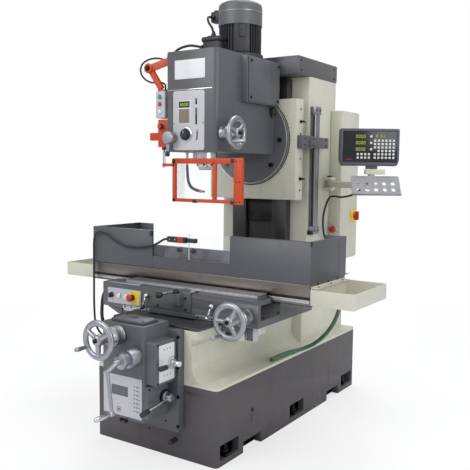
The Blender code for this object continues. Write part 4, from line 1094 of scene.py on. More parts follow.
# ---------------------------------------------------------------- saddle
def saddle():
    recast("saddle", "saddle_casting", "saddle", "grey", 0.003)
    control_box()
    feed_module()
    front_rail()
    clamps()
    direction_lever()
    oil_pump()
    limit_switch()
    side = brick((0.4995, -0.600, 0.690), (0.5035, -0.420, 0.764), 0.002)
    fit(side, "side_way_cover", "saddle", "iron")
    spots = [(0.5035, y, z) for y in (-0.585, -0.435) for z in (0.702, 0.752)]
    screws("side_cover_screws", "saddle", spots, RIGHT, 0.0045, 0.003)


def control_box():
    """Keys, stop button and mode knob, all at one height."""
    y, z = SADDLE_FRONT, 0.720
    stop_x = -0.283
    plate = brick((-0.462, y - 0.004, 0.677), (-0.226, y + 0.001, 0.760), 0.0015)
    fit(plate, "control_plate", "saddle", "box_grey")
    yellow = turned((stop_x, y - 0.0035, z), FRONT, [(0, 0.030), (0.0015, 0.030)], 40)
    square = brick((-0.276, y - 0.0052, 0.683), (-0.236, y - 0.0035, 0.757), 0.0008)
    fit(joined(yellow, square), "stop_plate", "saddle", "yellow")
    buttons, rims = [], []
    for x in (-0.378, -0.328):
        spot = (x, y - 0.003, z)
        rims.append(turned(spot, FRONT, [(0, 0.0145), (0.006, 0.0145), (0.008, 0.012)]))
        buttons.append(turned(spot, FRONT, [(0.005, 0.011), (0.011, 0.011), (0.013, 0.008)]))
    fit(joined(*rims), "button_rims", "saddle", "chrome")
    fit(joined(*buttons), "white_buttons", "saddle", "white")
    profile = [
        (0.012, 0.0105), (0.023, 0.0105), (0.025, 0.0195), (0.033, 0.0195), (0.037, 0.015), (0.039, 0.007)
    ]
    stop = turned((stop_x, y - 0.0004, z), FRONT, profile, 40)
    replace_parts(fit(stop, "stop_mushroom", "stop_button", "red", 50), "stop_button")
    collar = outline(ring_points(0.0165, 0.0125), 0.011, facing((stop_x, y - 0.0100, z), FRONT))
    fit(collar, "stop_collar", "saddle", "black")
    profile = [(0, 0.0145), (0.006, 0.0145), (0.008, 0.0125), (0.016, 0.0115)]
    knob = turned((-0.432, y - 0.004, z), FRONT, profile)
    pointer = brick((-0.4362, y - 0.0285, 0.7075), (-0.4278, y - 0.012, 0.7325), 0.0015)
    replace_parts(fit(joined(knob, pointer), "mode_switch", "mode_knob", "black"), "mode_knob")
    top = brick((-0.455, -0.6235, 0.7875), (-0.235, -0.560, 0.7925), 0.001)
    fit(top, "control_lid", "saddle", "strip")
    web = [(-0.498, 0.655), (-0.498, 0.702), (-0.380, 0.702), (-0.380, 0.616), (-0.408, 0.616)]
    gusset = outline(web, 0.030, facing((0, -0.590, 0), FRONT), 0.001)
    fit(gusset, "control_box_gusset", "saddle", "grey")


def feed_module():
    y = SADDLE_FRONT
    step = brick((-0.352, y - 0.006, 0.6575), (-0.164, y + 0.001, 0.675), 0.001)
    foot = brick((-0.352, y + 0.002, 0.6435), (-0.280, y + 0.020, 0.6600), 0.001)
    fit(joined(step, foot), "gib_bracket", "saddle", "strip")
    spots = [(x, y - 0.006, 0.666) for x in (-0.335, -0.290, -0.225, -0.180)]
    screws("gib_bracket_screws", "saddle", spots, FRONT, 0.0042, 0.0025)
    module = brick((-0.145, y - 0.0095, 0.688), (0.107, y + 0.001, 0.7865), 0.003)
    fit(module, "feed_module_cover", "saddle", "grey")
    spots = [(x, y - 0.0095, z) for x in (-0.105, 0.078) for z in (0.700, 0.757)]
    screws("feed_module_screws", "saddle", spots, FRONT, 0.0055, 0.004)
    gib = brick((0.132, y - 0.0015, 0.658), (0.300, y + 0.002, 0.681), 0.001)
    fit(gib, "gib_strip", "saddle", "strip")
    spots = [(x, y - 0.0015, 0.669) for x in (0.145, 0.190, 0.235, 0.280)]
    screws("gib_screws", "saddle", spots, FRONT, 0.0040, 0.0025)


def front_rail():
    y = SADDLE_FRONT
    rail = brick((-0.352, -0.6015, 0.8075), (0.482, -0.5105, 0.8100), 0.0008)
    fit(rail, "front_rail_strip", "saddle", "strip")
    scale_face = brick((-0.349, -0.6015, 0.790), (0.479, -0.5998, 0.8060), 0.0006)
    fit(scale_face, "front_rail_face", "saddle", "strip")
    stand = brick((0.105, y - 0.006, 0.7870), (0.125, y + 0.020, 0.8000), 0.002)
    fit(stand, "rail_latch", "saddle", "chrome")


def clamps():
    """The table clamp that turns, and its fixed twin on the left."""
    y = SADDLE_FRONT
    spot = Vector((0.240, y - 0.0004, 0.735))
    hub = turned(spot, FRONT, [(0.0004, 0.0142), (0.016, 0.0135), (0.022, 0.0125), (0.026, 0.008)], 28)
    tip = Vector((0.222, y - 0.030, 0.676))
    arm = bar(spot + Vector((0, -0.014, 0)), tip, 0.0058, 0.001, 18, 0.0048)
    ball = turned(tip + Vector((0, 0.0085, 0)), FRONT, sphere_profile(0.0092), 20)
    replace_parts(fit(joined(hub, arm, ball), "table_clamp", "clamp_lever", "chrome", 60), "clamp_lever")
    left = Vector((-0.180, y, 0.742))
    hub = turned(left, FRONT, [(0, 0.0135), (0.018, 0.0130), (0.024, 0.008)], 28)
    left_tip = left + Vector((-0.010, -0.028, -0.052))
    arm = bar(left + Vector((0, -0.014, 0)), left_tip, 0.0058, 0.001, 18, 0.0048)
    fit(joined(hub, arm), "left_clamp", "saddle", "chrome", 60)
    knob = turned(left_tip + Vector((0, 0.012, -0.006)), FRONT, sphere_profile(0.012), 20)
    fit(knob, "left_clamp_knob", "saddle", "black", 60)


def direction_lever():
    pivot = Vector((0.025, -0.650, 0.7805))
    hub = turned(pivot, UP, [(0.0005, 0.0165), (0.010, 0.0165), (0.018, 0.0160), (0.021, 0.012)], 32)
    top = pivot + Vector((0, 0, 0.010))
    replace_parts(fit(hub, "direction_hub", "direction_lever", "black"), "direction_lever")
    rod = bar(top, top + Vector((0, -0.118, 0)), 0.0055)
    fit(rod, "direction_rod", "direction_lever", "chrome")
    profile = [(0, 0.0085), (0.004, 0.0150), (0.016, 0.0170), (0.028, 0.0150), (0.034, 0.007)]
    grip = turned(top + Vector((0, -0.112, 0)), FRONT, profile, 24)
    fit(grip, "direction_grip", "direction_lever", "black", 50)


def oil_pump():
    pump = brick((0.283, -0.587, 0.573), (0.397, -0.378, 0.622), 0.006, 3)
    fit(pump, "oil_pump_body", "saddle", "cream")
    lid = brick((0.290, -0.589, 0.580), (0.340, -0.586, 0.618), 0.002)
    cup = turned((0.318, -0.586, 0.595), FRONT, [(0, 0.014), (0.002, 0.014), (0.002, 0.011)], 28)
    fit(joined(lid, cup), "oil_pump_cap", "saddle", "black")
    face = brick((0.396, -0.560, 0.580), (0.4005, -0.430, 0.618), 0.0015)
    fit(face, "oil_sight_plate", "saddle", "plate")


def limit_switch():
    box = brick((0.403, -0.577, 0.573), (0.448, -0.533, 0.660), 0.003)
    fit(box, "limit_box", "saddle", "box_grey")
    lid = brick((0.408, -0.5795, 0.580), (0.443, -0.5765, 0.640), 0.001)
    fit(lid, "limit_box_lid", "saddle", "motor")
    spots = [(x, -0.5795, z) for x in (0.413, 0.438) for z in (0.586, 0.634)]
    screws("limit_box_screws", "saddle", spots, FRONT, 0.0026, 0.0015)
    plunger = turned(
        (0.4255, -0.577, 0.660), UP, [(-0.004, 0.009), (0.006, 0.009), (0.008, 0.006), (0.020, 0.005)]
    )
    fit(plunger, "limit_plunger", "saddle", "chrome")


# ---------------------------------------------------------------- table, trays and table guard
def table():
    recast("table", "table_casting", "table", "table", 0.0012)
    coat("chrome", "table_screw")
    front = TABLE_LOW.y
    tops = []
    slots = [TABLE_MID + shift for shift in (-0.110, 0.0, 0.110)]
    edges = [front + 0.026, *[y + side * 0.0095 for y in slots for side in (-1, 1)], TABLE_HIGH.y - 0.0035]
    for start, end in zip(edges[::2], edges[1::2]):
        tops.append(brick((-0.6965, start, 0.8677), (0.6965, end, 0.8684), 0.0003, 1))
    fit(joined(*tops), "table_lands", "table", "table_top")
    strip = brick((-0.6985, front - 0.0008, 0.7785), (0.6985, front + 0.004, 0.7940), 0.0006)
    fit(strip, "table_front_strip", "table", "strip")
    groove = brick((-0.6990, front + 0.004, 0.7950), (0.6990, front + 0.0128, 0.8080), 0.0004, 1)
    fit(groove, "table_slot_shadow", "table", "iron")
    dogs = []
    for x in (-0.395, 0.300, 0.452):
        body = brick((x - 0.016, front - 0.010, 0.7935), (x + 0.016, front + 0.002, 0.8095), 0.002)
        bolt = settle(cap_screw(0.0055, 0.004), facing((x, front - 0.010, 0.8015), FRONT))
        dogs.append(joined(body, bolt))
    fit(joined(*dogs), "table_stop_dogs", "table", "screw")
    for side, name in ((-1, "tray_left"), (1, "tray_right")):
        recast(name, name + "_pan", "table", "cream", 0.0015)
        low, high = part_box(name)
        near = high.x if side < 0 else low.x
        sill = brick(
            (min(near, near + side * 0.030), low.y + 0.014, 0.848),
            (max(near, near + side * 0.030), high.y - 0.014, 0.8515),
            0.001,
        )
        fit(sill, name + "_sill", "table", "cream")
        spots = [(near + side * 0.016, y, 0.8515) for y in (-0.43, -0.295, -0.16)]
        screws(name + "_screws", "table", spots, UP, 0.0050, 0.0030)
    cover = brick((0.500, -0.450, 0.7560), (0.690, -0.150, 0.7664), 0.002)
    fit(cover, "screw_end_cover", "table", "iron")
    bracket = brick((0.592, -0.222, 0.742), (0.688, -0.138, 0.7655), 0.003)
    fit(bracket, "drain_bracket", "table", "cream")
    elbow = turned(
        (0.640, -0.180, 0.7450), DOWN, [(0, 0.019), (0.008, 0.019), (0.009, 0.015), (0.030, 0.014)], 24
    )
    fit(elbow, "drain_fitting", "table", "black")


def table_guard():
    low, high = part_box("table_guard")
    inner = low.y + 0.003
    left, right, sill = -0.260, 0.249, 0.930
    front = [
        (low.x, low.z),
        (high.x, low.z),
        (high.x, high.z),
        (right, high.z),
        (right, sill),
        (left, sill),
        (left, high.z),
        (low.x, high.z),
    ]
    wall = high.y - 0.0028
    guard = joined(
        outline(front, 0.003, facing((0, low.y + 0.0015, 0), FRONT), 0.0005),
        brick((low.x, low.y + 0.001, low.z), (low.x + 0.003, high.y, high.z), 0.0005),
        brick((high.x - 0.003, low.y + 0.001, low.z), (high.x, high.y, high.z), 0.0005),
        brick((low.x + 0.001, wall, low.z), (high.x - 0.001, high.y, 0.938), 0.0005),
        brick((low.x + 0.001, wall, low.z), (low.x + 0.120, high.y, high.z), 0.0005),
        brick((high.x - 0.120, wall, low.z), (high.x - 0.001, high.y, high.z), 0.0005),
        brick((low.x + 0.001, inner - 0.001, low.z), (high.x - 0.001, inner + 0.022, low.z + 0.003), 0.0005),
    )
    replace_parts(fit(guard, "table_guard_sheet", "table", "guard"), "table_guard")
    hem = brick((low.x + 0.118, wall - 0.0005, 0.9368), (high.x - 0.118, high.y + 0.004, 0.9396), 0.0006)
    fit(hem, "guard_rear_hem", "table", "guard")
    hems = []
    for x0, y0, x1, y1 in (
        (low.x, low.y - 0.0006, left - 0.002, low.y + 0.014),
        (right + 0.002, low.y - 0.0006, high.x, low.y + 0.014),
        (low.x - 0.0006, low.y, low.x + 0.014, high.y),
        (high.x - 0.014, low.y, high.x + 0.0006, high.y),
    ):
        hems.append(brick((x0, y0, high.z - 0.0012), (x1, y1, high.z + 0.0012), 0.0008))
    fit(joined(*hems), "guard_top_hems", "table", "guard")
    seams = [
        brick((left - 0.005, low.y - 0.0008, low.z), (left + 0.001, inner, high.z), 0.0008),
        brick((right - 0.001, low.y - 0.0008, low.z), (right + 0.005, inner, high.z), 0.0008),
        brick((left + 0.001, low.y - 0.0008, sill - 0.004), (right, inner, sill + 0.0005), 0.0006),
    ]
    fit(joined(*seams), "guard_window_edges", "table", "guard")
    window_panes(low, inner)
    interlock(low, inner)
    clip = brick((-0.272, low.y - 0.010, high.z - 0.028), (-0.256, inner + 0.004, high.z + 0.002), 0.002)
    corner = (high.x + 0.004, low.y + 0.014, high.z + 0.003)
    other = brick((high.x - 0.004, low.y - 0.001, high.z - 0.022), corner, 0.002)
    fit(joined(clip, other), "guard_clips", "table", "black")
    feet = [(x, inner + 0.011, 0.8714) for x in (-0.62, -0.35, -0.08, 0.19, 0.46, 0.66)]
    screws("guard_foot_screws", "table", feet, UP, 0.0050, 0.004)


def window_panes(low, inner):
    """The fixed and the sliding pane, behind the guard's inner face."""
    pane = brick((-0.256, inner + 0.0010, 0.932), (-0.0175, inner + 0.0042, 1.068), 0.0008)
    fit(pane, "fixed_pane", "table", "pane")
    sliding = brick((-0.0145, inner + 0.0010, 0.907), (0.2605, inner + 0.0044, 1.068), 0.0008)
    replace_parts(fit(sliding, "sliding_pane", "window", "pane"), "window_pane")
    edge = brick((-0.0160, inner + 0.0008, 0.906), (-0.0125, inner + 0.0050, 1.0685), 0.0006)
    fit(edge, "sliding_pane_edge", "window", "white")
    rail = brick((low.x + 0.43, inner + 0.0005, 0.888), (0.55, inner + 0.0075, 0.905), 0.001)
    fit(rail, "pane_rail", "table", "guard")
    profile = [(0, 0.006), (0.006, 0.006), (0.008, 0.0115), (0.017, 0.0125), (0.021, 0.009), (0.022, 0.004)]
    for x, body, name in ((-0.070, "table", "fixed_pane_knob"), (0.024, "window", "sliding_pane_knob")):
        fit(turned((x, inner + 0.001, 0.980), FRONT, profile, 10), name, body, "black")


def interlock(low, inner):
    """The guard switch on the fixed side and its key on the sliding pane."""
    low_z, high_z = 1.018, 1.049
    front = low.y - 0.022
    red = brick((-0.072, front - 0.0008, low_z - 0.0008), (-0.034, inner - 0.0016, high_z + 0.0008), 0.003)
    fit(red, "interlock_body", "table", "red")
    left = brick((-0.140, front, low_z), (-0.072, inner - 0.0016, high_z), 0.003)
    profile = [(-0.004, 0.0095), (0.008, 0.009), (0.010, 0.0065), (0.018, 0.0055)]
    collar = turned((-0.139, -0.503, 1.0335), LEFT, profile)
    nose = brick((-0.034, front, low_z), (-0.0192, inner - 0.0016, high_z), 0.002)
    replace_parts(fit(joined(left, nose, collar), "interlock_ends", "table", "black"), "interlock_switch")
    key = brick((-0.0115, low.y - 0.0175, 1.022), (0.0440, inner + 0.0008, 1.045), 0.003)
    fit(key, "interlock_key", "window", "black")
    spots = [(x, low.y - 0.0224, 1.0335) for x in (-0.122, -0.086)]
    screws("interlock_screws", "table", spots, FRONT, 0.0034, 0.0012, "chrome")


# ---------------------------------------------------------------- carriage, head and motor
def carriage():
    recast("carriage", "carriage_casting", "carriage", "cream", 0.005, 3)
    sheets = [brick((-0.0903, 0.2036, 1.0985), (0.0903, 0.2096, 1.2358), 0.0010)]
    for z in (1.115, 1.170, 1.225):
        sheets.append(brick((-0.0903, 0.2020, z), (0.0903, 0.2040, z + 0.004), 0.0008))
    fit(joined(*sheets), "way_cover_leaf", "carriage", "iron")
    spots = [(side * 0.2985, 0.142, z) for side in (-1, 1) for z in (1.29, 1.47, 1.61, 1.75)]
    screws("gib_adjusters_right", "carriage", [s for s in spots if s[0] > 0], RIGHT, 0.005, 0.003)
    screws("gib_adjusters_left", "carriage", [s for s in spots if s[0] < 0], LEFT, 0.005, 0.003)
    face = facing((0, 0.0968, SWIVEL_Z), FRONT)
    seat = flat_ring(0.2555, 0.0030, 0.4, 96, 8)
    fit(settle(seat, face), "swivel_seat", "carriage", "iron")
    ticks = []
    for degree in range(-60, 61, 5):
        turn = face @ Matrix.Rotation(math.radians(degree), 4, "Z")
        long = 0.014 if degree % 15 == 0 else 0.008
        ticks.append(settle(brick((0.262, -0.0005, -0.001), (0.262 + long, 0.0005, 0.0006), 0), turn))
    fit(joined(*ticks), "swivel_scale", "carriage", "ink")


def head():
    recast("head_casing", "head_housing", "head", "grey", 0.0035, 3)
    recast("belt_cover", "belt_side_cover", "head", "grey", 0.002)
    x = 0.2024
    spots = [(x, y, z) for y in (-0.236, 0.046) for z in (1.786, 1.978)]
    screws("side_cover_screws_head", "head", spots, RIGHT, 0.0070, 0.0045)
    chamfer = flat_ring(0.2485, 0.0028, 0.7, 96, 10)
    fit(settle(chamfer, facing((0, 0.0725, SWIVEL_Z), FRONT)), "swivel_chamfer", "head", "strip")
    bolts = []
    bolt_circle = 0.207
    for degree in (0, -43, 180, 223, 133):
        turn = math.radians(degree)
        bolts.append((bolt_circle * math.cos(turn), 0.071, SWIVEL_Z + bolt_circle * math.sin(turn)))
    screws("swivel_bolts", "head", bolts, FRONT, 0.013, 0.012)
    plug = brick((0.148, 0.030, 1.716), (0.182, 0.0712, 1.752), 0.005)
    tail = turned((0.165, 0.050, 1.720), DOWN, [(0, 0.010), (0.014, 0.010), (0.018, 0.006)])
    fit(joined(plug, tail), "head_connector", "head", "black")
    quill()


def quill():
    x, y = SPINDLE
    low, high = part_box("quill")
    body = turned((x, y, low.z), UP, [(0, 0.060), (0.004, 0.0648), (high.z - low.z - 0.001, 0.0648)], 48)
    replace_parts(fit(body, "quill_sleeve", "quill", "chrome"), "quill")
    cap = turned((x, y, low.z - 0.0005), UP, [(-0.010, 0.048), (-0.006, 0.058), (0.0, 0.060)], 48)
    fit(cap, "quill_nose_ring", "quill", "screw")
    nose = turned(
        (x, y, 1.400),
        UP,
        [
            (0, 0.0175),
            (0.0, 0.029),
            (0.004, 0.0325),
            (0.015, 0.0335),
            (0.018, 0.0425),
            (0.021, 0.044),
            (0.035, 0.044),
            (0.036, 0.041),
            (0.0362, 0.0255),
            (0.574, 0.0245),
        ],
        40,
    )
    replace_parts(fit(nose, "spindle_nose", "spindle", "chrome"), "spindle")
    flats = []
    for number in range(6):
        turn = Matrix.Translation((x, y, 0)) @ spin(number, 6)
        flats.append(settle(brick((0.0405, -0.006, 1.4215), (0.0448, 0.006, 1.4345), 0.001), turn))
    fit(joined(*flats), "collet_nut_flats", "spindle", "screw")
    coat("satin", "spindle_pulley", "motor_pulley")
    coat("belt", "drive_belt")


def motor():
    x, y = MOTOR_AXIS
    foot = 2.0115
    axis = Matrix.Translation((x, y, 0))
    flange = turned(
        (x, y, foot), UP, [(0, 0.126), (0.003, 0.129), (0.020, 0.129), (0.024, 0.120), (0.030, 0.108)], 64
    )
    core = turned((x, y, foot), UP, [(0.026, 0.104), (0.214, 0.104)], 48)
    fins = []
    for number in range(44):
        degree = 360 * number / 44
        if 285 < degree < 331 or 105 < degree < 140:
            continue
        turn = axis @ Matrix.Rotation(math.radians(degree), 4, "Z")
        fins.append(
            settle(brick((0.098, -0.0022, foot + 0.028), (0.1175, 0.0022, foot + 0.208), 0.001, 1), turn)
        )
    plates = []
    for degree in (-52, 122):
        turn = axis @ Matrix.Rotation(math.radians(degree), 4, "Z")
        pad = brick((0.090, -0.042, foot + 0.028), (0.1155, 0.042, foot + 0.206), 0.004)
        plates.append(settle(pad, turn))
        lug = brick((0.110, -0.015, foot + 0.105), (0.1265, 0.015, foot + 0.170), 0.005)
        eye = turned((0.1265, 0, foot + 0.152), RIGHT, [(-0.004, 0.010), (0.002, 0.010), (0.003, 0.007)], 20)
        plates.append(settle(joined(lug, eye), turn))
    body = fit(joined(flange, core, *fins, *plates), "motor_body", "head", "fins")
    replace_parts(body, "motor")
    bolts = []
    for degree in (-80, -24, 40, 100, 160, 220):
        turn = math.radians(degree)
        out = Vector((math.cos(turn), math.sin(turn), 0))
        bolts.append(facing(Vector((x, y, foot + 0.024)) + out * 0.119, UP))
    fit(stamped(cap_screw(0.0075, 0.008), bolts), "motor_bolts", "head", "screw")
    fan_cowl(foot)
    terminal_box(foot)


def fan_cowl(foot):
    x, y = MOTOR_AXIS
    profile = [
        (0.177, 0.1170),
        (0.177, 0.1212),
        (0.184, 0.1216),
        (0.270, 0.1214),
        (0.282, 0.1208),
        (0.2865, 0.1192),
        (0.291, 0.1180),
        (0.299, 0.1085),
        (0.306, 0.0920),
        (0.311, 0.0720),
        (0.3135, 0.0500),
        (0.3130, 0.0470),
        (0.3110, 0.0460),
        (0.3110, 0.0120),
    ]
    cowl = turned((x, y, foot), UP, profile, 72)
    fit(cowl, "fan_cowl", "head", "motor", 40)
    seam = turned(
        (x, y, foot), UP, [(0.2465, 0.1214), (0.2475, 0.1224), (0.2505, 0.1224), (0.2515, 0.1214)], 72
    )
    fit(seam, "cowl_seam", "head", "upright")
    spokes = []
    for number in range(10):
        turn = Matrix.Translation((x, y, foot)) @ spin(number, 10)
        spokes.append(settle(brick((0.013, -0.0022, 0.3105), (0.047, 0.0022, 0.3140), 0.0008, 1), turn))
    for radius in (0.020, 0.031, 0.042):
        place = Matrix.Translation((x, y, foot + 0.3125))
        spokes.append(outline(ring_points(radius, radius - 0.004), 0.003, place))
    fit(joined(*spokes), "fan_grille", "head", "upright")


def terminal_box(foot):
    """The terminal box, the plug on the motor's side, the lead between them and the cable glands."""
    box = brick((-0.104, -0.259, foot), (0.014, -0.140, foot + 0.090), 0.014, 4)
    lid = brick((-0.110, -0.264, foot + 0.080), (0.020, -0.136, foot + 0.110), 0.012, 4)
    boss = brick((-0.085, -0.240, foot + 0.104), (-0.035, -0.180, foot + 0.118), 0.006)
    neck = brick((-0.060, -0.150, foot + 0.030), (-0.010, -0.120, foot + 0.080), 0.004)
    fit(joined(box, lid, boss, neck), "terminal_cover", "head", "black")
    spots = [(a, b, foot + 0.1098) for a in (-0.096, 0.006) for b in (-0.250, -0.150)]
    screws("terminal_screws", "head", spots, UP, 0.0038, 0.0025, "chrome")
    plug = brick((-0.148, -0.120, 2.226), (-0.086, -0.062, 2.286), 0.008, 3)
    collar = turned((-0.126, -0.091, 2.285), UP, [(0, 0.014), (0.010, 0.014), (0.012, 0.010)], 20)
    side = turned((-0.128, -0.119, 2.252), FRONT, [(0, 0.013), (0.012, 0.013), (0.014, 0.010)], 16)
    gland = turned(
        (-0.060, -0.212, foot + 0.117), UP, [(0, 0.014), (0.012, 0.014), (0.013, 0.010), (0.026, 0.0085)], 12
    )
    fit(joined(plug, collar, side, gland), "motor_plug_block", "head", "black")
    route = [
        (-0.128, -0.130, 2.252),
        (-0.129, -0.152, 2.251),
        (-0.122, -0.180, 2.238),
        (-0.100, -0.202, 2.208),
        (-0.072, -0.211, 2.176),
        (-0.060, -0.212, 2.145),
    ]
    fit(piping(route, 0.0065)[0], "motor_lead", "head", "rubber")
    nut = turned(
        (-0.1085, -0.238, 2.070), LEFT, [(0, 0.014), (0.010, 0.014), (0.011, 0.011), (0.022, 0.0095)], 12
    )
    entry = turned(
        (-HEAD_SIDE, -0.390, 1.936),
        LEFT,
        [(-0.001, 0.014), (0.008, 0.014), (0.009, 0.011), (0.020, 0.0095)],
        12,
    )
    cable = turned(
        (-HEAD_SIDE, -0.424, 1.965),
        LEFT,
        [(-0.001, 0.010), (0.006, 0.010), (0.007, 0.008), (0.016, 0.006)],
        12,
    )
    fit(joined(nut, entry, cable), "head_glands", "head", "black")


def seven(shape, size):
    """Lit bars of one digit: shape names its bars, from the top, clockwise, the middle last."""
    wide, tall, thick = size * 0.5, size, size * 0.10
    spots = {
        "a": (0, tall / 2, True),
        "b": (wide / 2, tall / 4, False),
        "c": (wide / 2, -tall / 4, False),
        "d": (0, -tall / 2, True),
        "e": (-wide / 2, -tall / 4, False),
        "f": (-wide / 2, tall / 4, False),
        "g": (0, 0, True),
    }
    bars = []
    for letter in shape:
        x, y, level = spots[letter]
        half = (wide * 0.42, thick / 2) if level else (thick / 2, tall * 0.22)
        bars.append(brick((x - half[0], y - half[1], 0), (x + half[0], y + half[1], 0.0006), 0))
    return joined(*bars)


ZERO, EIGHT, ONE, FIVE = "abcdef", "abcdefg", "bc", "acdfg"


def digits(text, size, pitch, place, lift=0.0):
    made = []
    for number, shape in enumerate(text):
        if shape:
            made.append(settle(seven(shape, size), Matrix.Translation((number * pitch, 0, lift))))
    return settle(joined(*made), place)


def head_panel():
    y = HEAD_FRONT
    points = rounded((-0.106, 1.514), (0.071, 1.795), 0.012, 4)
    sheet = outline(points, 0.002, facing((0, y - 0.0008, 0), FRONT), 0.0005)
    fit(sheet, "control_panel", "head", "panel")
    trim = brick((-0.1575, y - 0.0030, 1.8095), (0.129, y + 0.002, 1.8150), 0.001)
    fit(trim, "front_trim", "head", "chrome")
    badge = brick((-0.108, y - 0.0024, 1.866), (0.085, y + 0.001, 1.963), 0.0008)
    fit(badge, "badge_plate", "head", "badge")
    rivets = [(a, y - 0.0024, b) for a in (-0.1035, 0.0805) for b in (1.8705, 1.9585)]
    screws("badge_rivets", "head", rivets, FRONT, 0.0022, 0.0012, "chrome")
    surround = brick((-0.0845, y - 0.0042, 1.634), (-0.003, y - 0.001, 1.757), 0.002)
    fit(surround, "display_surround", "head", "plate")
    glass = brick((-0.0790, y - 0.0052, 1.720), (-0.0085, y - 0.004, 1.752), 0.0004, 1)
    fit(glass, "display_window", "head", "window")
    speed = digits(
        [EIGHT, ZERO, ZERO, ZERO, EIGHT], 0.0125, 0.0108, facing((-0.0645, y - 0.0051, 1.736), FRONT)
    )
    fit(speed, "speed_digits", "head", "lamp")
    chart = brick((-0.0790, y - 0.0050, 1.640), (-0.0085, y - 0.004, 1.714), 0.0004, 1)
    fit(chart, "speed_chart", "head", "chart")
    lines = []
    for row in range(6):
        z = 1.648 + row * 0.0108
        lines.append(brick((-0.0760, y - 0.0054, z), (-0.0115, y - 0.0048, z + 0.0008), 0))
        for number in range(4):
            x = -0.0735 + number * 0.0162
            end = x + 0.008 - number % 2 * 0.002
            lines.append(brick((x, y - 0.0054, z + 0.003), (end, y - 0.0048, z + 0.0068), 0))
    fit(joined(*lines), "speed_chart_lines", "head", "ink")
    slots = [
        brick((0.0265, y - 0.0026, 1.7335), (0.0375, y - 0.001, 1.7660), 0.0012),
        brick((0.0265, y - 0.0026, 1.6330), (0.0375, y - 0.001, 1.7180), 0.0012),
    ]
    fit(joined(*slots), "gauge_slots", "head", "window")
    pointer = brick((0.0272, y - 0.0034, 1.7190), (0.0368, y - 0.001, 1.7325), 0.0012)
    fit(pointer, "gauge_pointer", "head", "plate")
    crescent = [
        *arc((-0.031, 1.578), 0.0735, 16, -20, 12), *reversed(arc((-0.040, 1.578), 0.0745, 13, -20, 12))
    ]
    fit(outline(crescent, 0.0008, facing((0, y - 0.0019, 0), FRONT)), "speed_sweep", "head", "ink")
    red = [*arc((-0.031, 1.578), 0.0755, 24, 4, 8), *reversed(arc((-0.036, 1.578), 0.0760, 22, 4, 8))]
    fit(outline(red, 0.0009, facing((0, y - 0.0020, 0), FRONT)), "speed_sweep_red", "head", "ink_red")
    spots = [(x, y - 0.0018, 1.640) for x in (-0.112, 0.077)]
    screws("panel_screws", "head", spots, FRONT, 0.0030, 0.0015)
    speed_dial()
    gear_lever()


def speed_dial():
    centre = Vector((-0.031, HEAD_FRONT, 1.583))
    skirt = turned(centre, FRONT, [(0.002, 0.0375), (0.004, 0.0385), (0.0065, 0.0375), (0.008, 0.033)], 48)
    fit(skirt, "dial_skirt", "speed_dial", "chrome")
    profile = [
        (0.0075, 0.0325),
        (0.009, 0.0310),
        (0.011, 0.0235),
        (0.027, 0.0215),
        (0.030, 0.0185),
        (0.0305, 0.012),
        (0.0290, 0.011),
    ]
    grips = [turned(centre, FRONT, profile, 40)]
    for number in range(16):
        turn = facing(centre, FRONT) @ spin(number, 16)
        grips.append(settle(brick((0.0205, -0.0017, 0.011), (0.0245, 0.0017, 0.0275), 0.0006, 1), turn))
    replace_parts(fit(joined(*grips), "dial_knob", "speed_dial", "black"), "speed_dial")
    start = centre + Vector((-0.0010, -0.0312, 0.004))
    line = brick(start, centre + Vector((0.0010, -0.0300, 0.017)), 0)
    fit(line, "dial_line", "speed_dial", "white")


def gear_lever():
    hub = Vector((-0.122, HEAD_FRONT - 0.0004, 1.567))
    base_ring = [(0.0004, 0.029), (0.003, 0.0305), (0.020, 0.0295), (0.023, 0.0285)]
    drum = [
        (0.0235, 0.033), (0.026, 0.0355), (0.030, 0.0362), (0.046, 0.0345), (0.051, 0.030), (0.052, 0.022)
    ]
    parts = [turned(hub, FRONT, base_ring, 48), turned(hub, FRONT, drum, 48)]
    top = hub + Vector((0, -0.036, 0))
    tip = top + Vector((-0.006, 0, -0.098))
    along = (tip - top).normalized()
    parts.append(bar(top + along * 0.024, top + along * 0.074, 0.0115, 0.001, 24, 0.0088))
    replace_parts(fit(joined(*parts), "gear_lever_hub", "gear_lever", "satin", 40), "gear_lever")
    profile = [(0, 0.0085), (0.003, 0.0115), (0.022, 0.0118), (0.027, 0.009), (0.0285, 0.004)]
    fit(turned(top + along * 0.070, along, profile, 24), "gear_lever_tip", "gear_lever", "black", 50)


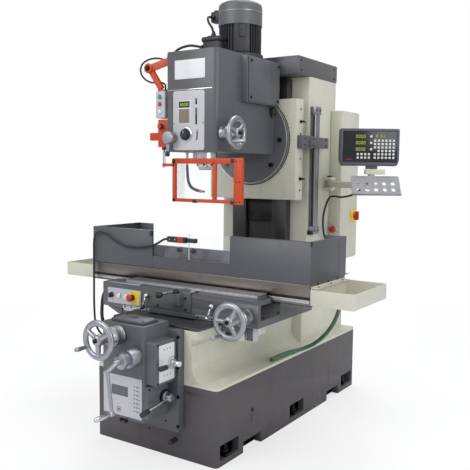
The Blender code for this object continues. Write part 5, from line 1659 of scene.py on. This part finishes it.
# ---------------------------------------------------------------- pendant and spindle guard
def pendant():
    recast("pendant_arm", "pendant_arm_bar", "head", "orange", 0.0015)
    y = GUARD_Y
    elbow = Vector((-0.302, y, 1.941))
    pivot = turned(
        elbow + Vector((0, -0.019, 0)), FRONT, [(0, 0.016), (0.004, 0.016), (0.005, 0.011), (0.010, 0.011)], 6
    )
    nut = turned(elbow + Vector((0, 0.013, 0)), BACK, [(0, 0.016), (0.004, 0.016), (0.006, 0.011)], 6)
    fit(joined(pivot, nut), "elbow_bolt", "head", "screw")
    recast("pendant", "pendant_box", "head", "box_grey", 0.003)
    x, start_z, halt_z, lamp_z = -0.2065, 1.782, 1.744, 1.706
    face = brick((-0.2345, -0.4910, 1.6765), (-0.1795, -0.4885, 1.8105), 0.002)
    holes = [turned((x, -0.4865, z), FRONT, [(0, 0.0110), (0.01, 0.0110)], 24) for z in (start_z, halt_z)]
    fit(carved(face, *holes), "pendant_face", "head", "panel")
    rims = []
    for z in (start_z, halt_z, lamp_z):
        rims.append(outline(ring_points(0.0152, 0.0122), 0.004, facing((x, -0.4925, z), FRONT)))
    fit(joined(*rims), "button_bezels", "head", "chrome")
    profile = [(-0.010, 0.0085), (0.004, 0.0104), (0.0075, 0.0106), (0.009, 0.0088)]
    for name, z, finish in (("start_button", start_z, "green"), ("halt_button", halt_z, "red")):
        cap = turned((x, -0.489, z), FRONT, profile, 32)
        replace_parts(fit(cap, name + "_cap", name, finish), name)
    profile = [(0, 0.0118), (0.006, 0.0115), (0.0085, 0.009), (0.0095, 0.005)]
    fit(turned((x, -0.4905, lamp_z), FRONT, profile, 32), "pendant_lamp", "head", "white")
    gland = turned(
        (-0.212, -0.4385, 1.8142), UP, [(0, 0.0085), (0.006, 0.0085), (0.007, 0.0065), (0.018, 0.0050)], 12
    )
    fit(gland, "pendant_gland", "head", "black")
    recast("guard_bracket", "guard_bracket_plate", "head", "orange", 0.0015)
    profile = [(0, 0.007), (0.006, 0.007), (0.008, 0.015), (0.022, 0.016), (0.027, 0.012)]
    knob = turned((GUARD_HINGE_X, y - 0.016, 1.628), FRONT, profile, 8)
    collar = turned((GUARD_HINGE_X, y, 1.512), UP, [(-0.006, 0.012), (0.006, 0.012), (0.007, 0.010)], 24)
    fit(joined(knob, collar), "bracket_knob", "head", "black")


def spindle_guard():
    y = GUARD_Y
    low, high = 1.232, 1.455
    half = 0.008

    def stick(x0, x1, z0, z1):
        return brick((x0, y - half, z0), (x1, y + half, z1), 0.0012)

    bars = [
        stick(-0.142, -0.122, low, high),
        stick(0.118, 0.139, low + 0.016, high - 0.016),
        stick(-0.141, 0.262, high - 0.022, high + 0.006),
        stick(-0.141, 0.262, low, low + 0.018),
        brick((0.250, y - 0.010, 1.228), (0.300, y + 0.010, 1.4625), 0.0015),
        stick(-0.212, -0.130, 1.418, 1.434),
    ]
    frame_piece = fit(joined(*bars), "guard_bars", "guard", "orange")
    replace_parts(frame_piece, "guard_frame")
    rod = bar((GUARD_HINGE_X, y, 1.412), (GUARD_HINGE_X, y, 1.598), 0.0068)
    fit(rod, "guard_pivot_rod", "guard", "chrome")
    panes = [
        brick((-0.1225, y - 0.0018, low + 0.017), (0.119, y + 0.0018, high - 0.017), 0.0006),
        brick((0.138, y - 0.0018, low + 0.017), (0.255, y + 0.0018, high - 0.017), 0.0006),
    ]
    fit(joined(*panes), "guard_panes", "guard", "pane")
    turn = [
        *[(-0.1400 + 0.0010 * n, y + 0.006 + 0.0115 * n) for n in range(5)],
        (-0.1368, y + 0.070),
        (-0.1372, y + 0.086),
        (-0.1390, y + 0.098),
    ]
    back = [(x - 0.0026, b) for x, b in reversed(turn)]
    shield = outline([*turn, *back], high - low - 0.006, Matrix.Translation((0, 0, (low + high) / 2)))
    fit(shield, "side_shield", "guard", "shield")
    strip = brick((-0.1435, y + 0.006, low + 0.002), (-0.1405, y + 0.022, high - 0.002), 0.0008)
    fit(strip, "shield_clamp_strip", "guard", "screw")
    clips = []
    for x0, x1, front, z0, z1 in (
        (-0.006, 0.016, y - 0.0115, low - 0.003, low + 0.016),
        (0.232, 0.254, y - 0.0115, low - 0.003, low + 0.016),
        (0.232, 0.254, y - 0.0115, high - 0.017, high + 0.002),
        (-0.1445, -0.130, y - 0.0100, high - 0.020, high + 0.002),
    ):
        clips.append(brick((x0, front, z0), (x1, y + 0.0095, z1), 0.002))
    fit(joined(*clips), "guard_bar_clips", "guard", "black")
    spots = [(x, y - 0.010, z) for x in (0.266, 0.288) for z in (1.242, 1.342, 1.445)]
    screws("guard_post_screws", "guard", spots, FRONT, 0.0034, 0.0015)


def coolant():
    """The jointed nozzle hose: a white feed tube, ball links and an orange jet."""
    route = CORDS["coolant_hose"][1]
    points = smooth_route(route, 0.004)
    lengths = [0.0]
    for a, b in zip(points, points[1:]):
        lengths.append(lengths[-1] + (b - a).length)

    def at(distance):
        """The place this far along the hose, and its direction there."""
        for number in range(len(points) - 1):
            if lengths[number + 1] >= distance:
                share = (distance - lengths[number]) / (lengths[number + 1] - lengths[number])
                here = points[number].lerp(points[number + 1], share)
                return here, (points[number + 1] - points[number]).normalized()
        return points[-1], (points[-1] - points[-2]).normalized()

    core, path = piping(route, 0.0056, 0.006, "coolant_hose_core")
    links = []
    pitch, first, last = 0.0125, 0.072, lengths[-1] - 0.030
    spot = first
    while spot < last:
        here, along = at(spot)
        profile = [(-0.0062, 0.0052), (-0.0050, 0.0078), (0.0005, 0.0086), (0.0040, 0.0066), (0.0062, 0.0060)]
        links.append(turned(here, along, profile, 16))
        spot += pitch
    links_piece = fit(joined(*links), "coolant_links", "head", "hose_blue", 50)
    top, down = at(0.0)
    sleeve = turned(
        top, down, [(0.001, 0.0085), (0.008, 0.0085), (0.009, 0.0068), (first - 0.006, 0.0066)], 20
    )
    sleeve = fit(sleeve, "coolant_feed_tube", "head", "tube")
    here, along = at(lengths[-1] - 0.028)
    jet = turned(
        here,
        along,
        [(-0.002, 0.0080), (0.006, 0.0084), (0.010, 0.0066), (0.026, 0.0034), (0.0275, 0.0026)],
        20,
    )
    jet = fit(jet, "coolant_jet", "head", "nozzle")
    fit(core, "coolant_hose_core", "head", "hose_blue")
    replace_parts(core, "coolant_hose")


# ---------------------------------------------------------------- digital read-out
def readout():
    recast("dro_arm", "read_out_arm", "dro_arm", "cream", 0.002)
    turn = math.radians(33)
    centre = Vector((0.711, 0.190, 1.5315)) - 0.017 * Vector((math.cos(turn), math.sin(turn), 0))
    place = Matrix.Translation(centre) @ Matrix.Rotation(turn, 4, "Z") @ facing((0, 0, 0), FRONT)
    wide, tall, face = 0.159, 0.1000, 0.030  # half the case's width, height and depth

    def block(low, high, soft):
        return settle(brick(low, high, soft), place)

    shell_points = [
        *arc((wide - 0.010, tall - 0.010), 0.010, 90, 0, 4),
        (wide, -tall + 0.030),
        *arc((wide - 0.022, -tall + 0.016), 0.016, 0, -90, 4),
        (0.050, -tall + 0.0005),
        (-0.050, -tall + 0.0005),
        *arc((-wide + 0.022, -tall + 0.016), 0.016, 270, 180, 4),
        (-wide, -tall + 0.030),
        *arc((-wide + 0.010, tall - 0.010), 0.010, 180, 90, 4),
    ]
    shell = outline(shell_points, face * 2, place, 0.004)
    foot = block((-0.013, -tall - 0.0160, -0.018), (0.047, -tall + 0.004, 0.018), 0.003)
    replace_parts(fit(joined(shell, foot), "read_out_case", "dro_unit", "bezel"), "dro_unit")
    hood = block(
        (-wide + 0.004, tall - 0.014, face - 0.002), (wide - 0.004, tall - 0.004, face + 0.006), 0.003
    )
    chin = block(
        (-wide + 0.012, -tall + 0.006, face - 0.002), (wide - 0.012, -tall + 0.019, face + 0.005), 0.004
    )
    sides = []
    for x in (-wide + 0.009, wide - 0.009):
        sides.append(
            block((x - 0.005, -tall + 0.014, face - 0.002), (x + 0.005, tall - 0.006, face + 0.005), 0.003)
        )
    fit(joined(hood, chin, *sides), "read_out_bezel", "dro_unit", "bezel")
    corner = (wide - 0.013, tall - 0.013, face + 0.0012)
    screen = block((-wide + 0.013, -tall + 0.018, face - 0.001), corner, 0.0006)
    fit(screen, "read_out_screen", "dro_unit", "screen")
    read_out_face(place, face)
    vents = []
    for number in range(8):
        x = -0.070 + number * 0.020
        vents.append(block((x, -0.030, -face - 0.0012), (x + 0.008, 0.030, -face + 0.001), 0.0006))
    fit(joined(*vents), "read_out_vents", "dro_unit", "black")
    plugs = []
    for x in (-0.060, -0.020, 0.020, 0.060):
        plug = turned(ORIGIN, UP, [(0, 0.010), (0.008, 0.010), (0.009, 0.007)], 16)
        back = place @ Matrix.Translation((x, -0.066, -face)) @ Matrix.Rotation(math.pi, 4, "X")
        plugs.append(settle(plug, back))
    fit(joined(*plugs), "read_out_sockets", "dro_unit", "screw")
    tool_tray(turn)
    clasp = turned((0.335, 0.461, 1.3655), UP, [(0, 0.016), (0.007, 0.016), (0.009, 0.012)], 6)
    fit(clasp, "arm_pivot_bolt", "dro_arm", "screw")


def read_out_face(place, face):
    """Digits and keys; place sets the case in the frame and face is the front's distance from its middle."""
    rows = (0.058, 0.024, -0.010)
    lit = []
    for row in rows:
        start = place @ Matrix.Translation((-0.070, row, face + 0.0010))
        lit.append(digits([ZERO, ZERO, ZERO, ZERO], 0.0150, 0.0135, start))
    start = place @ Matrix.Translation((0.038, 0.060, face + 0.0010))
    lit.append(digits([EIGHT, None, FIVE, ONE], 0.0125, 0.0115, start))
    fit(joined(*lit), "read_out_digits", "dro_unit", "digits")
    row_keys = [(0.0065, row) for row in rows]
    marked_keys = []
    for column in range(6):
        for row in range(6):
            if (column, row) != (0, 3):
                marked_keys.append((0.0275 + column * 0.0200, 0.036 - row * 0.0183))
    for column in range(4):
        for row in range(2):
            marked_keys.append((-0.064 + column * 0.0200, -0.0372 - row * 0.0183))
    key = brick((-0.0058, -0.0056, 0), (0.0058, 0.0056, 0.0024), 0.0014)
    spots = [place @ Matrix.Translation((x, y, face + 0.0006)) for x, y in row_keys + marked_keys]
    fit(stamped(key, spots), "read_out_keys", "dro_unit", "white")
    inks = []
    for x, y in marked_keys:
        mark = brick((x - 0.0024, y - 0.0007, face + 0.0028), (x + 0.0024, y + 0.0007, face + 0.0032), 0)
        inks.append(settle(mark, place))
    fit(joined(*inks), "read_out_key_marks", "dro_unit", "ink")
    red = settle(brick((-0.128, -0.066, face + 0.0006), (-0.094, -0.0635, face + 0.0015), 0), place)
    fit(red, "read_out_red_line", "dro_unit", "ink_red")


def tool_tray(turn):
    """The perforated tray under the read-out, turned with it and tipped towards the operator."""
    end = Vector((0.711, 0.190, 1.327))
    place = (
        Matrix.Translation(end)
        @ Matrix.Rotation(turn, 4, "Z")
        @ Matrix.Translation((0.012, -0.072, 0))
        @ Matrix.Rotation(math.radians(-38), 4, "X")
        @ Matrix.Rotation(math.radians(90), 4, "X")
    )
    sheet = outline(rounded((-0.120, -0.054), (0.120, 0.054), 0.009, 3), 0.0048, Matrix.Identity(4))
    holes = []
    for row in (-0.028, 0.012):
        for number in range(5):
            x = (number - 2) * 0.046
            holes.append(turned((x, row, -0.02), UP, [(0, 0.0125), (0.04, 0.0125)], 28))
    sheet = carved(sheet, *holes)
    edge = brick((-0.130, -0.0645, -0.0024), (0.130, -0.0605, 0.0110), 0.001)
    fit(settle(joined(sheet, edge), place), "tool_tray", "dro_arm", "tray")


# ---------------------------------------------------------------- cables and hoses
def route_length(points):
    return sum((b - a).length for a, b in zip(points, points[1:]))


def cord(name, body, finish, bend=None):
    """One cable or hose on its body; with bend given it stays in place on no body, and the body and points in
    bend are not used.
    """
    radius, route = CORDS[name]
    thing, points = piping(route, radius, max(0.006, radius), name + "_run")
    dress(thing, name + "_run", finish, 40)
    if bend:
        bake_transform(thing)
    else:
        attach(thing, body)
    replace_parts(thing, name)
    route_length(points)
    return thing


def cords():
    cord(
        "interlock_cable", "table", "rubber",
        ("saddle", (-0.700, -0.508, 0.80), (-0.470, -0.388, 0.46)),
    )
    cord(
        "saddle_conduit", "saddle", "rubber",
        ("base", (-0.540, -0.57, 0.62), (-0.330, -0.52, 0.42)),
    )
    cord(
        "drain_hose", "table", "hose_green",
        ("saddle", (0.655, -0.046, 0.768), (0.400, 0.010, 0.440)),
    )
    cord("pendant_cable", "head", "rubber")
    cord("motor_conduit", "head", "rubber")
    cord(
        "dro_cable", "dro_arm", "rubber",
        ("base", (0.600, 0.33, 1.30), (0.370, 0.415, 1.24)),
    )
    coolant()
    gland = [(-0.002, 0.017), (0.010, 0.017), (0.012, 0.013), (0.022, 0.0115)]
    fit(turned((-0.5008, -0.560, 0.735), LEFT, gland, 12), "saddle_gland", "saddle", "black")
    fit(turned((-0.2352, -0.480, 0.440), LEFT, gland, 12), "bed_gland", "base", "black")


# ---------------------------------------------------------------- stage
def floor():
    """A pale floor that keeps the shadow near the machine and fades to white further out."""
    bpy.ops.object.select_all(action="DESELECT")
    bpy.ops.mesh.primitive_plane_add(size=60, location=(0, 0, -0.0005))
    plane = bpy.context.object
    plane.name = "studio_floor"
    pale = Finish("pale floor", rough=0.9)
    pale.feed("Base Color", (0.86, 0.86, 0.86, 1))
    white = pale.node("Emission", {}, {"Strength": 1.0})
    distance = pale.node("VectorMath", {"operation": "LENGTH"}, [pale.place], "Value")
    reach = {"Value": distance, "From Min": 1.2, "From Max": 4.2, "To Min": 0.66, "To Max": 1.0}
    fade = pale.node("MapRange", {}, reach)
    share = pale.node("LightPath", out="Is Camera Ray") * fade
    matt = Value(pale, pale.shader.outputs[0])
    mix = pale.node("MixShader", {}, [share, matt, white])
    pale.join(mix, pale.tree.nodes["Material Output"].inputs[0])
    plane.data.materials.append(pale.material)


def backdrop():
    """A white backdrop to look at, and a softer light for the machine."""
    world = bpy.data.worlds.new("studio")
    bpy.context.scene.world = world
    sky = Graph(world)
    sky.tree.nodes.clear()
    soft = sky.node("Background", {}, [(0.92, 0.95, 1.0, 1), 0.60])
    white = sky.node("Background", {}, [(1, 1, 1, 1), 1.0])
    camera_ray = sky.node("LightPath", out="Is Camera Ray")
    seen = camera_ray.math("MAXIMUM", camera_ray, sky.node("LightPath", out="Is Transmission Ray"))
    mix = sky.node("MixShader", {}, [seen, soft, white])
    sky.node("OutputWorld", {}, [mix])


def lamps():
    for name, spot, size, power in (
        ("key_lamp", (-1.2, -4.2, 3.6), 3.0, 105),
        ("side_lamp", (4.0, -1.6, 2.6), 2.4, 60),
        ("top_lamp", (0.6, 0.8, 5.0), 3.0, 95),
        ("rear_lamp", (-2.6, 3.6, 3.2), 2.6, 80),
    ):
        data = bpy.data.lights.new(name, "AREA")
        data.size, data.energy = size, power
        lamp = added(name, data)
        lamp.location = spot
        aim = Vector((0, 0, 1.1)) - Vector(spot)
        lamp.rotation_euler = aim.to_track_quat("-Z", "Y").to_euler()


def camera():
    ahead = Vector(
        (-math.sin(HEADING) * math.cos(PITCH), math.cos(HEADING) * math.cos(PITCH), -math.sin(PITCH))
    )
    level = Vector((math.cos(HEADING), math.sin(HEADING), 0))
    upward = level.cross(ahead)
    right = math.cos(ROLL) * level + math.sin(ROLL) * upward
    over = -math.sin(ROLL) * level + math.cos(ROLL) * upward
    data = bpy.data.cameras.new("studio_camera")
    data.lens, data.sensor_width, data.clip_end = LENS, SENSOR, 200
    thing = added("studio_camera", data)
    turn = Matrix((right, over, -ahead)).transposed().to_4x4()
    thing.matrix_world = Matrix.Translation(EYE) @ turn
    bpy.context.scene.camera = thing
    bpy.context.scene.view_settings.view_transform = "Standard"


camera()
floor()
backdrop()
lamps()
base()
bed()
column()
scale()
oil_lines()
cabinet()
wheels()
crank()
gearbox()
saddle()
table()
table_guard()
carriage()
head()
motor()
head_panel()
pendant()
spindle_guard()
readout()
cords()
